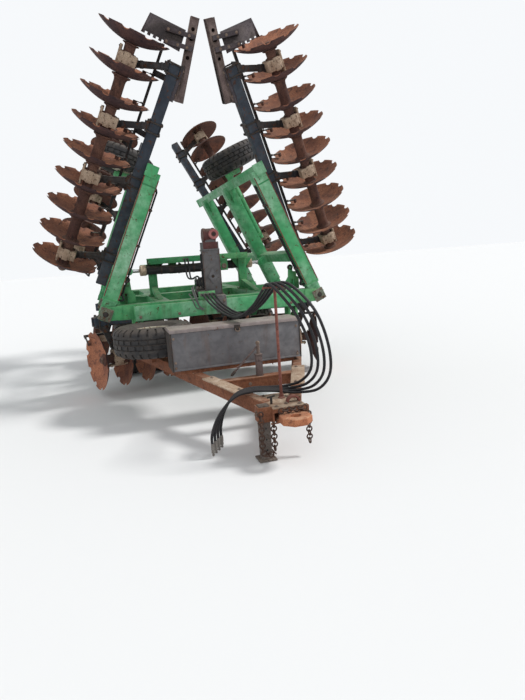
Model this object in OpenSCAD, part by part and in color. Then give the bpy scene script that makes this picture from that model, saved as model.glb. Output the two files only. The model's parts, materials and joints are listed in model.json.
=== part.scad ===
// Folding tandem disc harrow, wings folded for transport.
// Millimetres, +Z up, tongue toward -Y, symmetric about X = 0, ground at Z = 0.

/* [Discs] */
// Disc diameter
disc_d = 660; // [560:10:720]
// Distance between discs along the axle
disc_gap = 279; // [230:1:300]
// Radius of curvature of a disc
disc_curve = 600; // [450:10:900]
// Disc plate thickness
disc_t = 8; // [5:0.5:10]
// Notches around a front disc
notches = 10; // [6:1:14]
// Angle of every gang to the straight-across line
gang_angle = 19; // [12:0.5:22]
// Axle height below the frame tubes
disc_drop = 552; // [450:2:600]
// Discs on each wing gang
wing_discs = 9; // [6:1:10]
// Discs on each centre gang
centre_discs = 5; // [3:1:5]

/* [Frame] */
// Distance between left and right fold pins
hinge_span = 2320; // [1800:10:2600]
// Height of the fold pins and frame tubes
frame_z = 964; // [850:2:1050]
// Frame tube size
tube = 150; // [100:5:180]
// Gang beam size
beam = 110; // [80:5:140]
// Y of the middle frame tube behind the front one
mid_y = 1350; // [1000:10:1600]
// Y of the rear frame tube behind the front one
rear_y = 2750; // [2200:10:3000]
// Length of a wing tube from the fold pin to the outer rail
wing_len = 1500; // [1200:10:1800]
// Fold angle from the field position
fold_angle = 114.4; // [0:0.1:114.4]

/* [Wheels] */
// Tyre diameter
tyre_d = 770; // [650:5:850]
// Tyre width
tyre_w = 280; // [200:5:320]
// Rim seat diameter
rim_d = 381; // [330:1:420]
// Y of the centre wheels behind the front tube
axle_y = 1580; // [1400:5:1700]

/* [Tongue] */
// Y of the hitch eye ahead of the front tube
eye_y = -2360; // [-2800:10:-2000]
// Height of the hitch eye centre
eye_z = 334; // [280:1:450]

/* [Hidden] */
$fn = 48;
y0 = -655;
hx = hinge_span / 2;
ga = gang_angle;
sl = tan(ga);
ca = cos(ga);
dr = disc_d / 2;
tr = tyre_d / 2;
beam_v = tube / 2 + beam / 2;
// Outermost discs of the wing gangs, from the fold pin
fu = 2435;
fy = -360;
ru = 2540;
ry = 3450;
// Outermost discs of the centre gangs, from X = 0
cfx = hx + fu - wing_discs * disc_gap * ca;
cfy = fy + wing_discs * disc_gap * sin(ga);
crx = hx + ru - wing_discs * disc_gap * ca;
cry = ry - wing_discs * disc_gap * sin(ga);
// Side step from the disc row to its beam
beam_off = 81;
beam_h = disc_drop - beam_v - beam / 2;
// Side step of a standard between its housing and the beam
lean = 100;
// Extension bar past the end of the front wing beam, and where its tip is
ext_len = 430;
ext_tilt = 9;
ext_u = fu + (15 + ext_len * cos(ext_tilt)) * ca + beam_off * sin(ga);
ext_w = beam_h + beam + 40 - disc_drop - ext_len * sin(ext_tilt);
// The fold stops before the two tips meet over the middle
fold = min(fold_angle, acos((58 - hx) / norm([ext_u, ext_w])) - atan2(ext_w, ext_u));
// Wing wheel past the fold pin
wheel_u = wing_len + 300;
// Middle of the tool box and the spare wheel behind the front tube
box_y = -1035;
spare_y = -480;

c_green = [0.25, 0.62, 0.36];
c_dark = [0.11, 0.16, 0.23];
c_rust = [0.77, 0.48, 0.35];
c_brown = [0.48, 0.27, 0.2];
c_grey = [0.37, 0.36, 0.4];
c_black = [0.08, 0.08, 0.08];
c_tan = [0.7, 0.58, 0.48];
c_steel = [0.6, 0.6, 0.6];

// Placement helpers

module base() {
    translate([0, y0, 0]) children();
}

module side(s) {
    if (s > 0) base() children();
    else mirror([1, 0, 0]) base() children();
}

// Children are drawn in the field position, X outward from the fold pin, Z up from it
module wing(s) {
    side(s) translate([hx, 0, frame_z]) rotate([0, -fold, 0]) children();
}

module xcyl(r, x1, x2) {
    translate([x1, 0, 0]) rotate([0, 90, 0]) cylinder(r = r, h = x2 - x1);
}

module ycyl(r, y1, y2) {
    translate([0, y2, 0]) rotate([90, 0, 0]) cylinder(r = r, h = y2 - y1);
}

module box(x1, x2, y1, y2, z1, z2) {
    translate([x1, y1, z1]) cube([x2 - x1, y2 - y1, z2 - z1]);
}

// A flat bar between two points of the XZ plane, spread along Y
module bar_xz(x1, z1, x2, z2, w, y1, y2) {
    len = norm([x2 - x1, z2 - z1]);
    translate([x1, 0, z1]) rotate([0, -atan2(z2 - z1, x2 - x1), 0])
        box(0, len, y1, y2, -w / 2, w / 2);
}

// A flat bar between two points of the YZ plane, spread along X
module bar_yz(y1, z1, y2, z2, w, x1, x2) {
    len = norm([y2 - y1, z2 - z1]);
    translate([0, y1, z1]) rotate([atan2(z2 - z1, y2 - y1), 0, 0])
        box(x1, x2, 0, len, -w / 2, w / 2);
}

// A tube between two points of the XY plane
module bar_xy(x1, y1, x2, y2, w, z1, z2) {
    len = norm([x2 - x1, y2 - y1]);
    translate([x1, y1, 0]) rotate([0, 0, atan2(y2 - y1, x2 - x1)])
        box(0, len, -w / 2, w / 2, z1, z2);
}

// Gangs, drawn with the axle along X from the outermost disc inward

function sag(r) = disc_curve - sqrt(disc_curve * disc_curve - r * r);
disc_r = [15, 110, 190, 262, dr];

module disc(dish, cut) {
    pts = concat(
        [for (r = disc_r) [r, -dish * sag(r) - disc_t / 2]],
        [for (i = [4:-1:0]) [disc_r[i], -dish * sag(disc_r[i]) + disc_t / 2]]
    );
    difference() {
        rotate([0, 90, 0]) rotate_extrude() polygon(pts);
        if (cut) for (k = [0:notches - 1]) rotate([360 * k / notches + 7, 0, 0])
            translate([0, 0, dr + 8]) xcyl(37, -160, 160);
    }
}

module spool(x1, x2) {
    rotate([0, 90, 0]) rotate_extrude() polygon([
        [10, x1], [88, x1], [88, x1 + 14], [55, x1 + 45], [55, x2 - 45], [88, x2 - 14],
        [88, x2], [10, x2]
    ]);
}

function bearing_at(n) = n > 6 ? [0.5, 2.5, 4.5, 7.5] : [0.5, n - 1.5];

function is_bearing(i, n) = len([for (b = bearing_at(n)) if (floor(b) == i) b]) > 0;

module gang(n, dish, cut) {
    for (i = [0:n - 1]) translate([i * disc_gap, 0, 0]) disc(dish, cut);
    xcyl(24, -60, (n - 1) * disc_gap + 60);
    for (i = [0:n - 2]) {
        if (is_bearing(i, n)) xcyl(52, i * disc_gap + 3, (i + 1) * disc_gap - 3);
        else spool(i * disc_gap + 3, (i + 1) * disc_gap - 3);
    }
    xcyl(70, -32, -3);
    xcyl(70, (n - 1) * disc_gap + 3, (n - 1) * disc_gap + 32);
    xcyl(40, -52, -30);
    xcyl(40, (n - 1) * disc_gap + 30, (n - 1) * disc_gap + 52);
}

// Scraper rail with one arm and blade on the hollow side of each disc
module scrapers(n, dish) {
    box(dish > 0 ? -128 : -60, (n - 1) * disc_gap + (dish > 0 ? 60 : 128), -265, -235, 245, 275);
    for (i = [0:n - 1]) translate([i * disc_gap, 0, 0]) mirror([dish > 0 ? 0 : 1, 0, 0])
        rotate([133.9, 0, 0]) {
            box(-120, -112, 232, 366, -20, 20);
            box(-120, -78, 232, 258, -20, 20);
        }
    for (p = bearing_at(n)) translate([p * disc_gap, 0, 0])
        bar_yz(-120, 385, -252, 262, 16, -30, 30);
}

// Beam with its standards, bearing housings and scrapers, behind the axle
module gang_beam(n, dish, x1, x2) {
    box(x1, x2, -beam_off - beam / 2, -beam_off + beam / 2, beam_h, beam_h + beam);
    for (p = bearing_at(n)) translate([p * disc_gap, 0, 0]) {
        difference() {
            union() {
                box(-55, 55, -66, 66, -66, 95);
                box(-62, 62, -84, 84, -30, 30);
            }
            xcyl(57, -100, 100);
        }
        hull() {
            box(-30, 30, -67, -23, 60, 95);
            box(-dish * lean - 32, -dish * lean + 32, -67, -23, beam_h - 60, beam_h + 4);
        }
    }
    scrapers(n, dish);
}

module at_wf() { translate([fu, fy, -disc_drop]) rotate([0, 0, 180 - ga]) children(); }
module at_wr() { translate([ru, ry, -disc_drop]) rotate([0, 0, 180 + ga]) children(); }
module at_cf() { translate([cfx, cfy, frame_z - disc_drop]) rotate([0, 0, 180 - ga]) children(); }
module at_cr() { translate([crx, cry, frame_z - disc_drop]) rotate([0, 0, 180 + ga]) children(); }

wing_row = (wing_discs - 1) * disc_gap;
centre_row = (centre_discs - 1) * disc_gap;

module beam_cf(s) { color(c_dark) side(s) at_cf() gang_beam(centre_discs, 1, -60, centre_row + 60); }
module beam_cr(s) { color(c_dark) side(s) at_cr() gang_beam(centre_discs, -1, 35, centre_row + 150); }
module beam_wf(s) { color(c_dark) wing(s) at_wf() gang_beam(wing_discs, 1, 0, wing_row + 90); }
module beam_wr(s) { color(c_dark) wing(s) at_wr() gang_beam(wing_discs, -1, 15, wing_row + 90); }
module gang_cf(s) { color(c_rust) side(s) at_cf() gang(centre_discs, 1, true); }
module gang_cr(s) { color(c_rust) side(s) at_cr() gang(centre_discs, -1, false); }
module gang_wf(s) { color(c_rust) wing(s) at_wf() gang(wing_discs, 1, true); }
module gang_wr(s) { color(c_rust) wing(s) at_wr() gang(wing_discs, -1, false); }

// Frames

module frame_ears() {
    for (q = [-1, 1]) {
        box(-165, 0, q * 72 - 12, q * 72 + 12, -70, 70);
        translate([0, q * 72, 0]) ycyl(70, -12, 12);
    }
    ycyl(25, -108, 108);
    box(-55, 55, -98, -83, -55, 55);
}

module main_frame() {
    color(c_green) base() translate([0, 0, frame_z]) {
        for (y = [0, mid_y, rear_y]) {
            box(-hx + 116, hx - 116, y - 75, y + 75, -tube / 2, tube / 2);
            translate([hx, y, 0]) frame_ears();
            mirror([1, 0, 0]) translate([hx, y, 0]) frame_ears();
        }
        box(-200, -20, -80, -66, 66, 145);
        for (q = [-1, 1]) {
            box(q * 560 - 75, q * 560 + 75, -75, rear_y + 75, -tube / 2, tube / 2);
            box(q * 850 - 55, q * 850 - 30, -70, 70, -480, -70);
            box(q * 850 + 30, q * 850 + 55, -70, 70, -480, -70);
            translate([q * 850, 0, -410]) xcyl(20, -75, 75);
            difference() {
                box(q * 560 - 25, q * 560 + 25, 1055, 1205, -235, -70);
                translate([0, 1130, 800 - frame_z]) xcyl(56, -900, 900);
            }
        }
    }
}

module bridge() {
    color(c_green) base() {
        box(-600, 600, 780, 1110, 1420, 1445);
        box(-600, 600, 780, 805, 1420, 1490);
        box(-600, 600, 1085, 1110, 1420, 1490);
        for (q = [-1, 1]) {
            box(q * 560 - 50, q * 560 + 50, 915, 975, frame_z + tube / 2, 1425);
            difference() {
                bar_yz(300, frame_z + 56, 930, frame_z + 164, 60, q * 560 - 30, q * 560 + 30);
                box(q * 560 - 60, q * 560 + 60, 200, 600, frame_z - 100, frame_z + tube / 2);
            }
        }
        for (s = [-1, 1]) for (e = [-1, 1]) {
            y = s > 0 ? cyl_y[1] : cyl_y[0];
            box(-s * cyl_px - 45, -s * cyl_px + 45, y + e * 40 - 9, y + e * 40 + 9, 1290, 1424);
        }
        for (s = [-1, 1]) {
            y = s > 0 ? cyl_y[1] : cyl_y[0];
            translate([-s * cyl_px, y, cyl_z]) ycyl(19.5, -56, 56);
        }
    }
}

module wing_frame(s) {
    color(c_green) wing(s) {
        for (y = [0, mid_y, rear_y]) {
            box(135, wing_len, y - 75, y + 75, -tube / 2, tube / 2);
            for (q = [-1, 1]) difference() {
                union() {
                    box(0, 160, y + q * 42 - 12, y + q * 42 + 12, -68, 68);
                    translate([0, y + q * 42, 0]) ycyl(68, -12, 12);
                }
                translate([0, y, 0]) ycyl(26.5, -80, 80);
            }
        }
        box(wing_len - 55, wing_len + 55, -85, rear_y + 520, -tube / 2, tube / 2 - 40);
        y = s > 0 ? cyl_y[1] : cyl_y[0];
        difference() {
            box(lug_u - 50, lug_u + 50, 60, 2950, -50, 50);
            // Room for the rod's eye in mid-fold
            box(lug_u - 60, lug_u - 18, y - 30, y + 30, 31, 60);
        }
        for (q = [-1, 1]) {
            box(lug_u - 45, lug_u + 45, y + q * 40 - 9, y + q * 40 + 9, 40, lug_w);
            translate([lug_u, y + q * 40, lug_w]) ycyl(45, -9, 9);
            translate([lug_u, y + q * 54, lug_w]) ycyl(26, -6, 6);
        }
    }
}

// Wheels, drawn with the axle along X

module tyre() {
    h = tyre_w / 2;
    rotate([0, 90, 0]) rotate_extrude() polygon([
        [rim_d / 2, -h + 45], [rim_d / 2 + 30, -h + 22], [tr - 110, -h], [tr - 50, -h + 4],
        [tr - 16, -h + 26], [tr, -h + 60], [tr, h - 60], [tr - 16, h - 26],
        [tr - 50, h - 4], [tr - 110, h], [rim_d / 2 + 30, h - 22], [rim_d / 2, h - 45]
    ]);
}

module rim(x1, x2) {
    rotate([0, 90, 0]) rotate_extrude() polygon([
        [rim_d / 2 - 14, -95], [rim_d / 2, -95], [rim_d / 2, 95], [rim_d / 2 - 14, 95]
    ]);
    xcyl(rim_d / 2 - 10, -10, 0);
    xcyl(70, x1, x2);
}

module centre_tyres(s) {
    color(c_black) side(s) for (x = [570, 930]) translate([x, axle_y, tr]) tyre();
}

module centre_rims(s) {
    color(c_steel) side(s) {
        translate([570, axle_y, tr]) rim(-40, 145);
        translate([930, axle_y, tr]) mirror([1, 0, 0]) rim(-40, 145);
        translate([570, axle_y, tr]) xcyl(28, 0, 360);
    }
}

module rockshaft() {
    color(c_green) base() {
        translate([0, 1130, 800]) xcyl(55, -1000, 1000);
        for (q = [-1, 1]) difference() {
            union() {
                bar_yz(1130, 800, axle_y, tr, 130, q * 750 - 24, q * 750 + 24);
                translate([q * 750, axle_y, tr]) xcyl(68, -24, 24);
            }
            translate([q * 750, axle_y, tr]) xcyl(31, -60, 60);
        }
        bar_yz(1130, 800, 1130, 1190, 90, -20, 20);
    }
}

module wing_tyre(s) { color(c_black) wing(s) translate([wheel_u, 1750, -330]) tyre(); }

module wing_rim(s) {
    color(c_steel) wing(s) translate([wheel_u, 1750, -330]) difference() {
        rim(-120, 40);
        xcyl(25.6, -200, 30);
    }
}

module wing_arm(s) {
    color(c_green) wing(s) {
        translate([0, 1500, -145]) xcyl(45, 700, wheel_u - 160);
        bar_yz(1500, -145, 1750, -330, 110, wheel_u - 198, wheel_u - 150);
        translate([0, 1750, -330]) xcyl(62, wheel_u - 202, wheel_u - 146);
        translate([0, 1750, -330]) xcyl(25, wheel_u - 160, wheel_u + 22);
        for (x = [760, wheel_u - 500]) box(x - 20, x + 20, 1425, 1530, -170, 60);
    }
}

// Cylinders

cyl_y = [850, 1040];
cyl_px = 300;
cyl_z = 1340;
lug_u = 490;
lug_w = 130;

function lug_x() = hx + lug_u * cos(fold) - lug_w * sin(fold);
function lug_z() = frame_z + lug_u * sin(fold) + lug_w * cos(fold);
cyl_len = norm([lug_x() + cyl_px, lug_z() - cyl_z]);
cyl_ang = atan2(lug_z() - cyl_z, lug_x() + cyl_px);

module at_cyl(s) {
    side(s) translate([-cyl_px, s > 0 ? cyl_y[1] : cyl_y[0], cyl_z]) rotate([0, -cyl_ang, 0])
        children();
}

module fold_barrel(s) {
    color(c_black) at_cyl(s) {
        difference() {
            union() {
                xcyl(52, 62, cyl_len - 140);
                translate([0, 0, 0]) ycyl(42, -25, 25);
                box(0, 70, -25, 25, -30, 30);
                xcyl(60, cyl_len - 200, cyl_len - 130);
            }
            ycyl(20, -60, 60);
            xcyl(30, 120, cyl_len - 150);
            xcyl(21.3, 100, cyl_len);
        }
    }
}

module fold_rod(s) {
    color(c_steel) at_cyl(s) {
        xcyl(21, 130, cyl_len - 10);
        translate([cyl_len, 0, 0]) ycyl(40, -24, 24);
    }
}

module lift_barrel() {
    color(c_black) base() translate([0, 0, 1150]) {
        difference() {
            union() {
                ycyl(50, 300, 800);
                translate([0, 265, 0]) xcyl(38, -26, 26);
                box(-26, 26, 265, 310, -30, 30);
            }
            translate([0, 265, 0]) xcyl(19, -40, 40);
            ycyl(23, 350, 900);
        }
        difference() {
            ycyl(58, 760, 830);
            ycyl(23, 700, 900);
        }
    }
}

module lift_rod() {
    color(c_steel) base() translate([0, 0, 1150]) ycyl(22, 360, 1085);
}

// Tongue and what stands on it

module tongue() {
    color(c_brown) base() {
        for (q = [-1, 1]) {
            difference() {
                box(q * 850 - 29, q * 850 + 29, -200, 32, frame_z - 484, frame_z - 384);
                translate([q * 850, 0, frame_z - 410]) xcyl(20.4, -60, 60);
            }
            hull() {
                box(q * 850 - 29, q * 850 + 29, -200, -120, frame_z - 484, frame_z - 384);
                box(q * 95 - 30, q * 95 + 30, -2140, -2060, eye_z - 53, eye_z + 53);
            }
        }
        box(-125, 125, -2250, -1850, eye_z + 25, eye_z + 53);
        box(-98, 98, -2250, -1850, eye_z - 53, eye_z - 25);
        box(-340, 340, -1500, -1410, 360, 450);
        translate([-218, 0, 370]) ycyl(6, -2268, -2200);
        translate([140, 0, 326]) ycyl(6, -2268, -2200);
        translate([0, -2244, 283.8]) xcyl(6, -145, -90);
        box(115, 150, -2236, -2190, 318, 380);
        for (y = [-105, 105]) box(-600, 440, box_y + y - 15, box_y + y + 15, 480, 520);
        box(-790, -690, spare_y - 50, spare_y + 50, 500, 582);
        difference() {
            box(-223, -124, -2212, -2113, 290, 400);
            box(-213, -134, -2202, -2123, 280, 410);
        }
    }
}

module hitch_eye() {
    color(c_rust) base() difference() {
        union() {
            translate([0, eye_y, eye_z - 25]) rotate([0, 0, 22.5]) cylinder(r = 116, h = 50, $fn = 8);
            box(-60, 60, eye_y, eye_y + 230, eye_z - 25, eye_z + 25);
        }
        translate([0, eye_y, eye_z - 60]) cylinder(r = 38, h = 200);
    }
}

module mast() {
    color(c_grey) base() {
        box(-90, 90, 75, 195, frame_z - 60, 1620);
        translate([0, 135, 1690]) xcyl(75, -55, 55);
        box(-55, 55, 75, 195, 1610, 1700);
        for (q = [-1, 1]) box(q * 38 - 8, q * 38 + 8, 190, 300, 1100, 1200);
        translate([0, 265, 1150]) xcyl(18, -54, 54);
    }
}

module tool_box() {
    color(c_grey) base() {
        difference() {
            box(-660, 500, box_y - 140, box_y + 140, 520, 870);
            box(-655, 495, box_y - 135, box_y + 135, 525, 865);
        }
    }
}

module spare_tyre() {
    color(c_black) base() translate([-740, spare_y, 582 + tyre_w / 2]) rotate([0, 90, 0]) tyre();
}

module spare_rim() {
    color(c_steel) base() translate([-740, spare_y, 582 + tyre_w / 2])
        rotate([0, 90, 0]) rim(-50, 30);
}

module parking_stand() {
    color(c_dark) base() {
        box(-211, -136, -2200, -2125, 12, 408);
        box(-239, -108, -2228, -2097, 0, 14);
    }
}

module screw_jack() {
    color(c_brown) base() {
        box(-5, 45, -1480, -1430, 450, 640);
        translate([20, -1455, 630]) cylinder(r = 13, h = 110);
        translate([20, -1455, 712]) rotate([0, -133, 0]) cylinder(r = 8, h = 290);
    }
}

module hose_stand() {
    color(c_brown) base() {
        translate([20, -2010, eye_z + 53]) cylinder(r = 11, h = 835);
        translate([0, -2010, 1222]) xcyl(6, -65, 75);
    }
}

// One link in the XZ plane, turned about Z
module link(turn) {
    rotate([90, 0, turn]) rotate_extrude($fn = 12) translate([20, 0]) circle(r = 5.5, $fn = 6);
}

pitch = 28.6;

module chains() {
    color(c_brown) base() {
        // Loop at the left: down, half a circle, up
        for (i = [0:9]) translate([-218, -2244, 362 - i * pitch]) link(i % 2 * 90);
        for (i = [1:4]) translate([-172.5 - 45.5 * cos(i * 36), -2244, 104 - 45.5 * sin(i * 36)])
            rotate([0, i * 36, 0]) link(i % 2 == 1 ? 0 : 90);
        for (i = [0:6]) translate([-127, -2244, 104 + i * pitch]) link((i + 1) % 2 * 90);
        // Short end at the right
        for (i = [0:7]) translate([140, -2244, 318 - i * pitch]) link(i % 2 * 90);
        // Row lying over the eye's shank
        for (i = [0:6]) translate([-80 + i * pitch, -2300, 386]) rotate([0, 90, 0]) link(i % 2 * 90);
    }
}

// Hoses: hand-set points, each hose a step further over than the last

hose_r = 10.5;
hose_p = [
    [-170, -81, 1075], [-170, -200, 1075], [-150, -450, 1000], [-110, -850, 935], [-80, -1250, 940],
    [-60, -1650, 1060], [-45, -1900, 1190], [-40, -2020, 1247], [-10, -2130, 1212],
    [90, -2230, 1040], [170, -2250, 830], [200, -2190, 640], [170, -2060, 520],
    [90, -1930, 462], [-20, -1860, 450], [-160, -1830, 455], [-290, -1850, 430],
    [-390, -1880, 330], [-437, -1900, 205], [-440, -1905, 110]
];
hose_d = [
    [40, 0, 0], [40, 0, 0], [38, 0, 0], [34, 0, 4], [30, 0, 6],
    [28, 0, 4], [28, -4, 1], [28, -9, 2], [34, -20, 6],
    [36, -30, 8], [33, -35, 0], [33, -36, -10], [30, -34, -18],
    [16, -34, -12], [0, -36, -2], [-6, -36, 0], [-12, -31, 0],
    [-22, -26, -6], [-28, -24, -8], [-28, -23, -10]
];

function pt(p, i) = p[max(0, min(len(p) - 1, i))];
function crv(p, i, t) = let (a = pt(p, i - 1), b = pt(p, i), c = pt(p, i + 1), d = pt(p, i + 2))
    0.5 * (2 * b + (c - a) * t + (2 * a - 5 * b + 4 * c - d) * t * t
    + (3 * b - a - 3 * c + d) * t * t * t);
function unit(v) = v / norm(v);
function path(p, n) = [for (i = [0:len(p) - 2]) for (j = [0:n - 1]) crv(p, i, j / n), p[len(p) - 1]];
// Side direction carried along the path, so that the tube doesn't twist
function carry(q, t) = unit(q - (q * t) * t);
function sides(ts, i, q) = i >= len(ts) ? [] : let (n = carry(q, ts[i])) concat([n], sides(ts, i + 1, n));

module tube_along(p, r, m) {
    k = len(p);
    ts = [for (i = [0:k - 1]) unit(pt(p, i + 1) - pt(p, i - 1))];
    ns = sides(ts, 0, [1, 0, 0]);
    rings = [for (i = [0:k - 1]) for (j = [0:m - 1])
        p[i] + r * (cos(360 * j / m) * ns[i] + sin(360 * j / m) * cross(ts[i], ns[i]))];
    walls = [for (i = [0:k - 2]) for (j = [0:m - 1])
        [i * m + j, i * m + (j + 1) % m, (i + 1) * m + (j + 1) % m, (i + 1) * m + j]];
    ends = [[for (j = [m - 1:-1:0]) j], [for (j = [0:m - 1]) (k - 1) * m + j]];
    polyhedron(rings, concat(
        [for (f = walls) [f[3], f[2], f[1], f[0]]],
        [for (e = ends) [for (q = [m - 1:-1:0]) e[q]]]
    ));
}

module hose(k) {
    pts = [for (i = [0:len(hose_p) - 1]) hose_p[i] + k * hose_d[i]];
    color(c_black) base() tube_along(path(pts, 4), hose_r, 10);
}

// Plugs at the free ends and screwed ends at the plate, one pair a hose
module plug(k) {
    e = hose_p[len(hose_p) - 1] + k * hose_d[len(hose_d) - 1];
    color(c_steel) base() {
        translate([e[0], e[1], e[2] - 64]) cylinder(r = 10.3, h = 24);
        translate([e[0], e[1], e[2] - 42]) cylinder(r = 14, h = 41.2);
    }
}

module extension(s) {
    color(c_brown) wing(s) at_wf() {
        box(-20, 310, -beam_off - 45, -beam_off + 45, beam_h + beam, beam_h + beam + 30);
        box(230, 290, -beam_off - 40, -beam_off + 40, beam_h + beam, beam_h + beam + 55);
        translate([-15, -beam_off, beam_h + beam + 40]) rotate([0, -ext_tilt, 0]) {
            difference() {
                box(-ext_len, 305, -40, 40, -40, 40);
                for (k = [0:3]) translate([-90 - 80 * k, 0, 0]) ycyl(17, -60, 60);
            }
            translate([0, 52, 0]) rotate([90, 0, 0]) linear_extrude(12) difference() {
                polygon([[-353, -395], [-186, -450], [-143, -205], [-118, -85], [-305, -60]]);
                for (k = [0:3]) translate([-176 + k * 9, -405 + k * 52]) rotate(-10)
                    square([46, 24], center = true);
            }
            for (x = [-270, -170]) box(x - 20, x + 20, 39, 64, -240, 30);
        }
    }
}

main_frame();
bridge();
tongue();
hitch_eye();
mast();
tool_box();
spare_tyre();
spare_rim();
parking_stand();
screw_jack();
hose_stand();
chains();
beam_cf(-1);  // beam_cfl
beam_cf(1);  // beam_cfr
beam_cr(-1);  // beam_crl
beam_cr(1);  // beam_crr
beam_wf(-1);  // beam_wfl
beam_wf(1);  // beam_wfr
beam_wr(-1);  // beam_wrl
beam_wr(1);  // beam_wrr
gang_cf(-1);  // gang_cfl
gang_cf(1);  // gang_cfr
gang_cr(-1);  // gang_crl
gang_cr(1);  // gang_crr
gang_wf(-1);  // gang_wfl
gang_wf(1);  // gang_wfr
gang_wr(-1);  // gang_wrl
gang_wr(1);  // gang_wrr
wing_frame(-1);  // wing_frame_l
wing_frame(1);  // wing_frame_r
wing_arm(-1);  // wing_arm_l
wing_arm(1);  // wing_arm_r
wing_tyre(-1);  // wing_tyre_l
wing_tyre(1);  // wing_tyre_r
wing_rim(-1);  // wing_rim_l
wing_rim(1);  // wing_rim_r
rockshaft();
centre_tyres(-1);  // centre_tyres_l
centre_tyres(1);  // centre_tyres_r
centre_rims(-1);  // centre_rims_l
centre_rims(1);  // centre_rims_r
fold_barrel(-1);  // fold_barrel_l
fold_barrel(1);  // fold_barrel_r
fold_rod(-1);  // fold_rod_l
fold_rod(1);  // fold_rod_r
lift_barrel();
lift_rod();
extension(-1);  // extension_l
extension(1);  // extension_r
hose(0);  // hose_1
hose(1);  // hose_2
hose(2);  // hose_3
hose(3);  // hose_4
for (k = [0:3]) plug(k);  // plugs
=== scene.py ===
"""Folding tandem disc harrow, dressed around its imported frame."""

import json
import math

import bpy
from bpy.props import FloatProperty, FloatVectorProperty, IntProperty, PointerProperty
from mathutils import Matrix, Vector


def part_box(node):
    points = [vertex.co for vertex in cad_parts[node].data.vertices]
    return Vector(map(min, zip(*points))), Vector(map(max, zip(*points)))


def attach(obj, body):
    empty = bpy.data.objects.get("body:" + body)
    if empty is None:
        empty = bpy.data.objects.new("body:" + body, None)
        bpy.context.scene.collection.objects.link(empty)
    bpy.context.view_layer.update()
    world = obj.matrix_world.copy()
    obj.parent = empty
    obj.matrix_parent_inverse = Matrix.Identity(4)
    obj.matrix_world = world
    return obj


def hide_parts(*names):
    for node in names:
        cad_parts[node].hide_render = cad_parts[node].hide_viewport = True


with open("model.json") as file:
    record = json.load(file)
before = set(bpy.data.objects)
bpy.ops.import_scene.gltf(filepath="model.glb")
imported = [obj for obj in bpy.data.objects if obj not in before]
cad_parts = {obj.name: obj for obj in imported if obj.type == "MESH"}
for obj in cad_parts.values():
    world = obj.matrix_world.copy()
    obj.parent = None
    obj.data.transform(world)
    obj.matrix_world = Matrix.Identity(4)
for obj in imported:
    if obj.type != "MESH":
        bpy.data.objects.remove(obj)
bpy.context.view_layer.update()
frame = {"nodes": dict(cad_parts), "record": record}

bl_info = {
    "name": "Folding disc harrow",
    "version": (1, 0, 0),
    "blender": (4, 5, 0),
    "location": "3D View > Sidebar > Harrow",
    "description": "Models the pieces and finishes of a folding disc harrow around its frame",
    "category": "Object",
}

# Sizes of the frame, in millimetres

MM = 0.001
EYE_Y = -2360
EYE_Z = 334
EYE_R = 116
Y0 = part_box("hitch_eye")[0].y / MM - (EYE_Y - EYE_R * math.cos(math.pi / 8))
DISC_R = 330
DISC_GAP = 279
DISC_CURVE = 600
NOTCHES = 10
GANG_ANGLE = 19
DROP = 552
HINGE_X = 1160
FRAME_Z = 964
TUBE = 150
BEAM = 110
BEAM_OFF = 81
BEAM_H = DROP - TUBE / 2 - BEAM
LEAN = 100
BOX_Y = -1035
SPARE = (-740, -480, 722)
FOLD = 114.4
MID_Y = 1350
REAR_Y = 2750
WING_LEN = 1500
AXLE_Y = 1580
TYRE_R = 385
RIM_R = 190.5
WING_DISCS = 9
CENTRE_DISCS = 5
LUG_U = 490
LUG_W = 130
CYL_X = 300
CYL_Z = 1340
CYL_Y = {-1: 850, 1: 1040}
SIDES = ((-1, "l"), (1, "r"))
RAIL_X = 560
HEAD_TOP = EYE_Z + 53
TYRE_HALF = 140
TWIN_X = (570, 930)
WING_WHEEL = (WING_LEN + 300, 1750, -330)
BEAM_Y = (-BEAM_OFF - BEAM / 2, -BEAM_OFF + BEAM / 2)

# Gangs, as (kind, discs, way of the dish), and how far their beams reach past the end discs

GANGS = (("wf", WING_DISCS, 1), ("cf", CENTRE_DISCS, 1), ("wr", WING_DISCS, -1), ("cr", CENTRE_DISCS, -1))
BEAM_ENDS = {"wf": (0, 90), "cf": (-60, 60), "wr": (15, 90), "cr": (35, 150)}

# Where the outermost disc of each gang is, from the hinge on the wings and from the middle on the frame

WF_X, WF_Y, WR_X, WR_Y = 2435, -360, 2540, 3450
SPAN = WING_DISCS * DISC_GAP * math.cos(math.radians(GANG_ANGLE))
RISE = WING_DISCS * DISC_GAP * math.sin(math.radians(GANG_ANGLE))
GANG_AT = {
    "wf": (WF_X, WF_Y),
    "wr": (WR_X, WR_Y),
    "cf": (HINGE_X + WF_X - SPAN, WF_Y + RISE),
    "cr": (HINGE_X + WR_X - SPAN, WR_Y - RISE),
}

# Points closer than this, in metres, are merged

SAME_POINT = 0.00005
MIRROR_X = Matrix.Scale(-1, 4, (1, 0, 0))


def turn(axis, degrees):
    return Matrix.Rotation(math.radians(degrees), 4, axis)


def shift(x, y, z):
    return Matrix.Translation((x * MM, y * MM, z * MM))


def side(s):
    return (MIRROR_X if s < 0 else Matrix()) @ shift(0, Y0, 0)


def wing(s):
    return side(s) @ shift(HINGE_X, 0, FRAME_Z) @ turn("Y", -FOLD)


def gang_place(kind, s):
    """The frame of a gang: X runs from its outermost disc inward."""
    carrier = wing(s) if kind in ("wf", "wr") else side(s) @ shift(0, 0, FRAME_Z)
    angle = GANG_ANGLE if kind in ("wr", "cr") else -GANG_ANGLE
    return carrier @ shift(*GANG_AT[kind], -DROP) @ turn("Z", 180 + angle)


def extension_place(s):
    """The frame of an extension bar: X runs outward along the bar, backwards."""
    return gang_place("wf", s) @ shift(-15, -BEAM_OFF, BEAM_H + BEAM + 40) @ turn("Y", -9)


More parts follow.
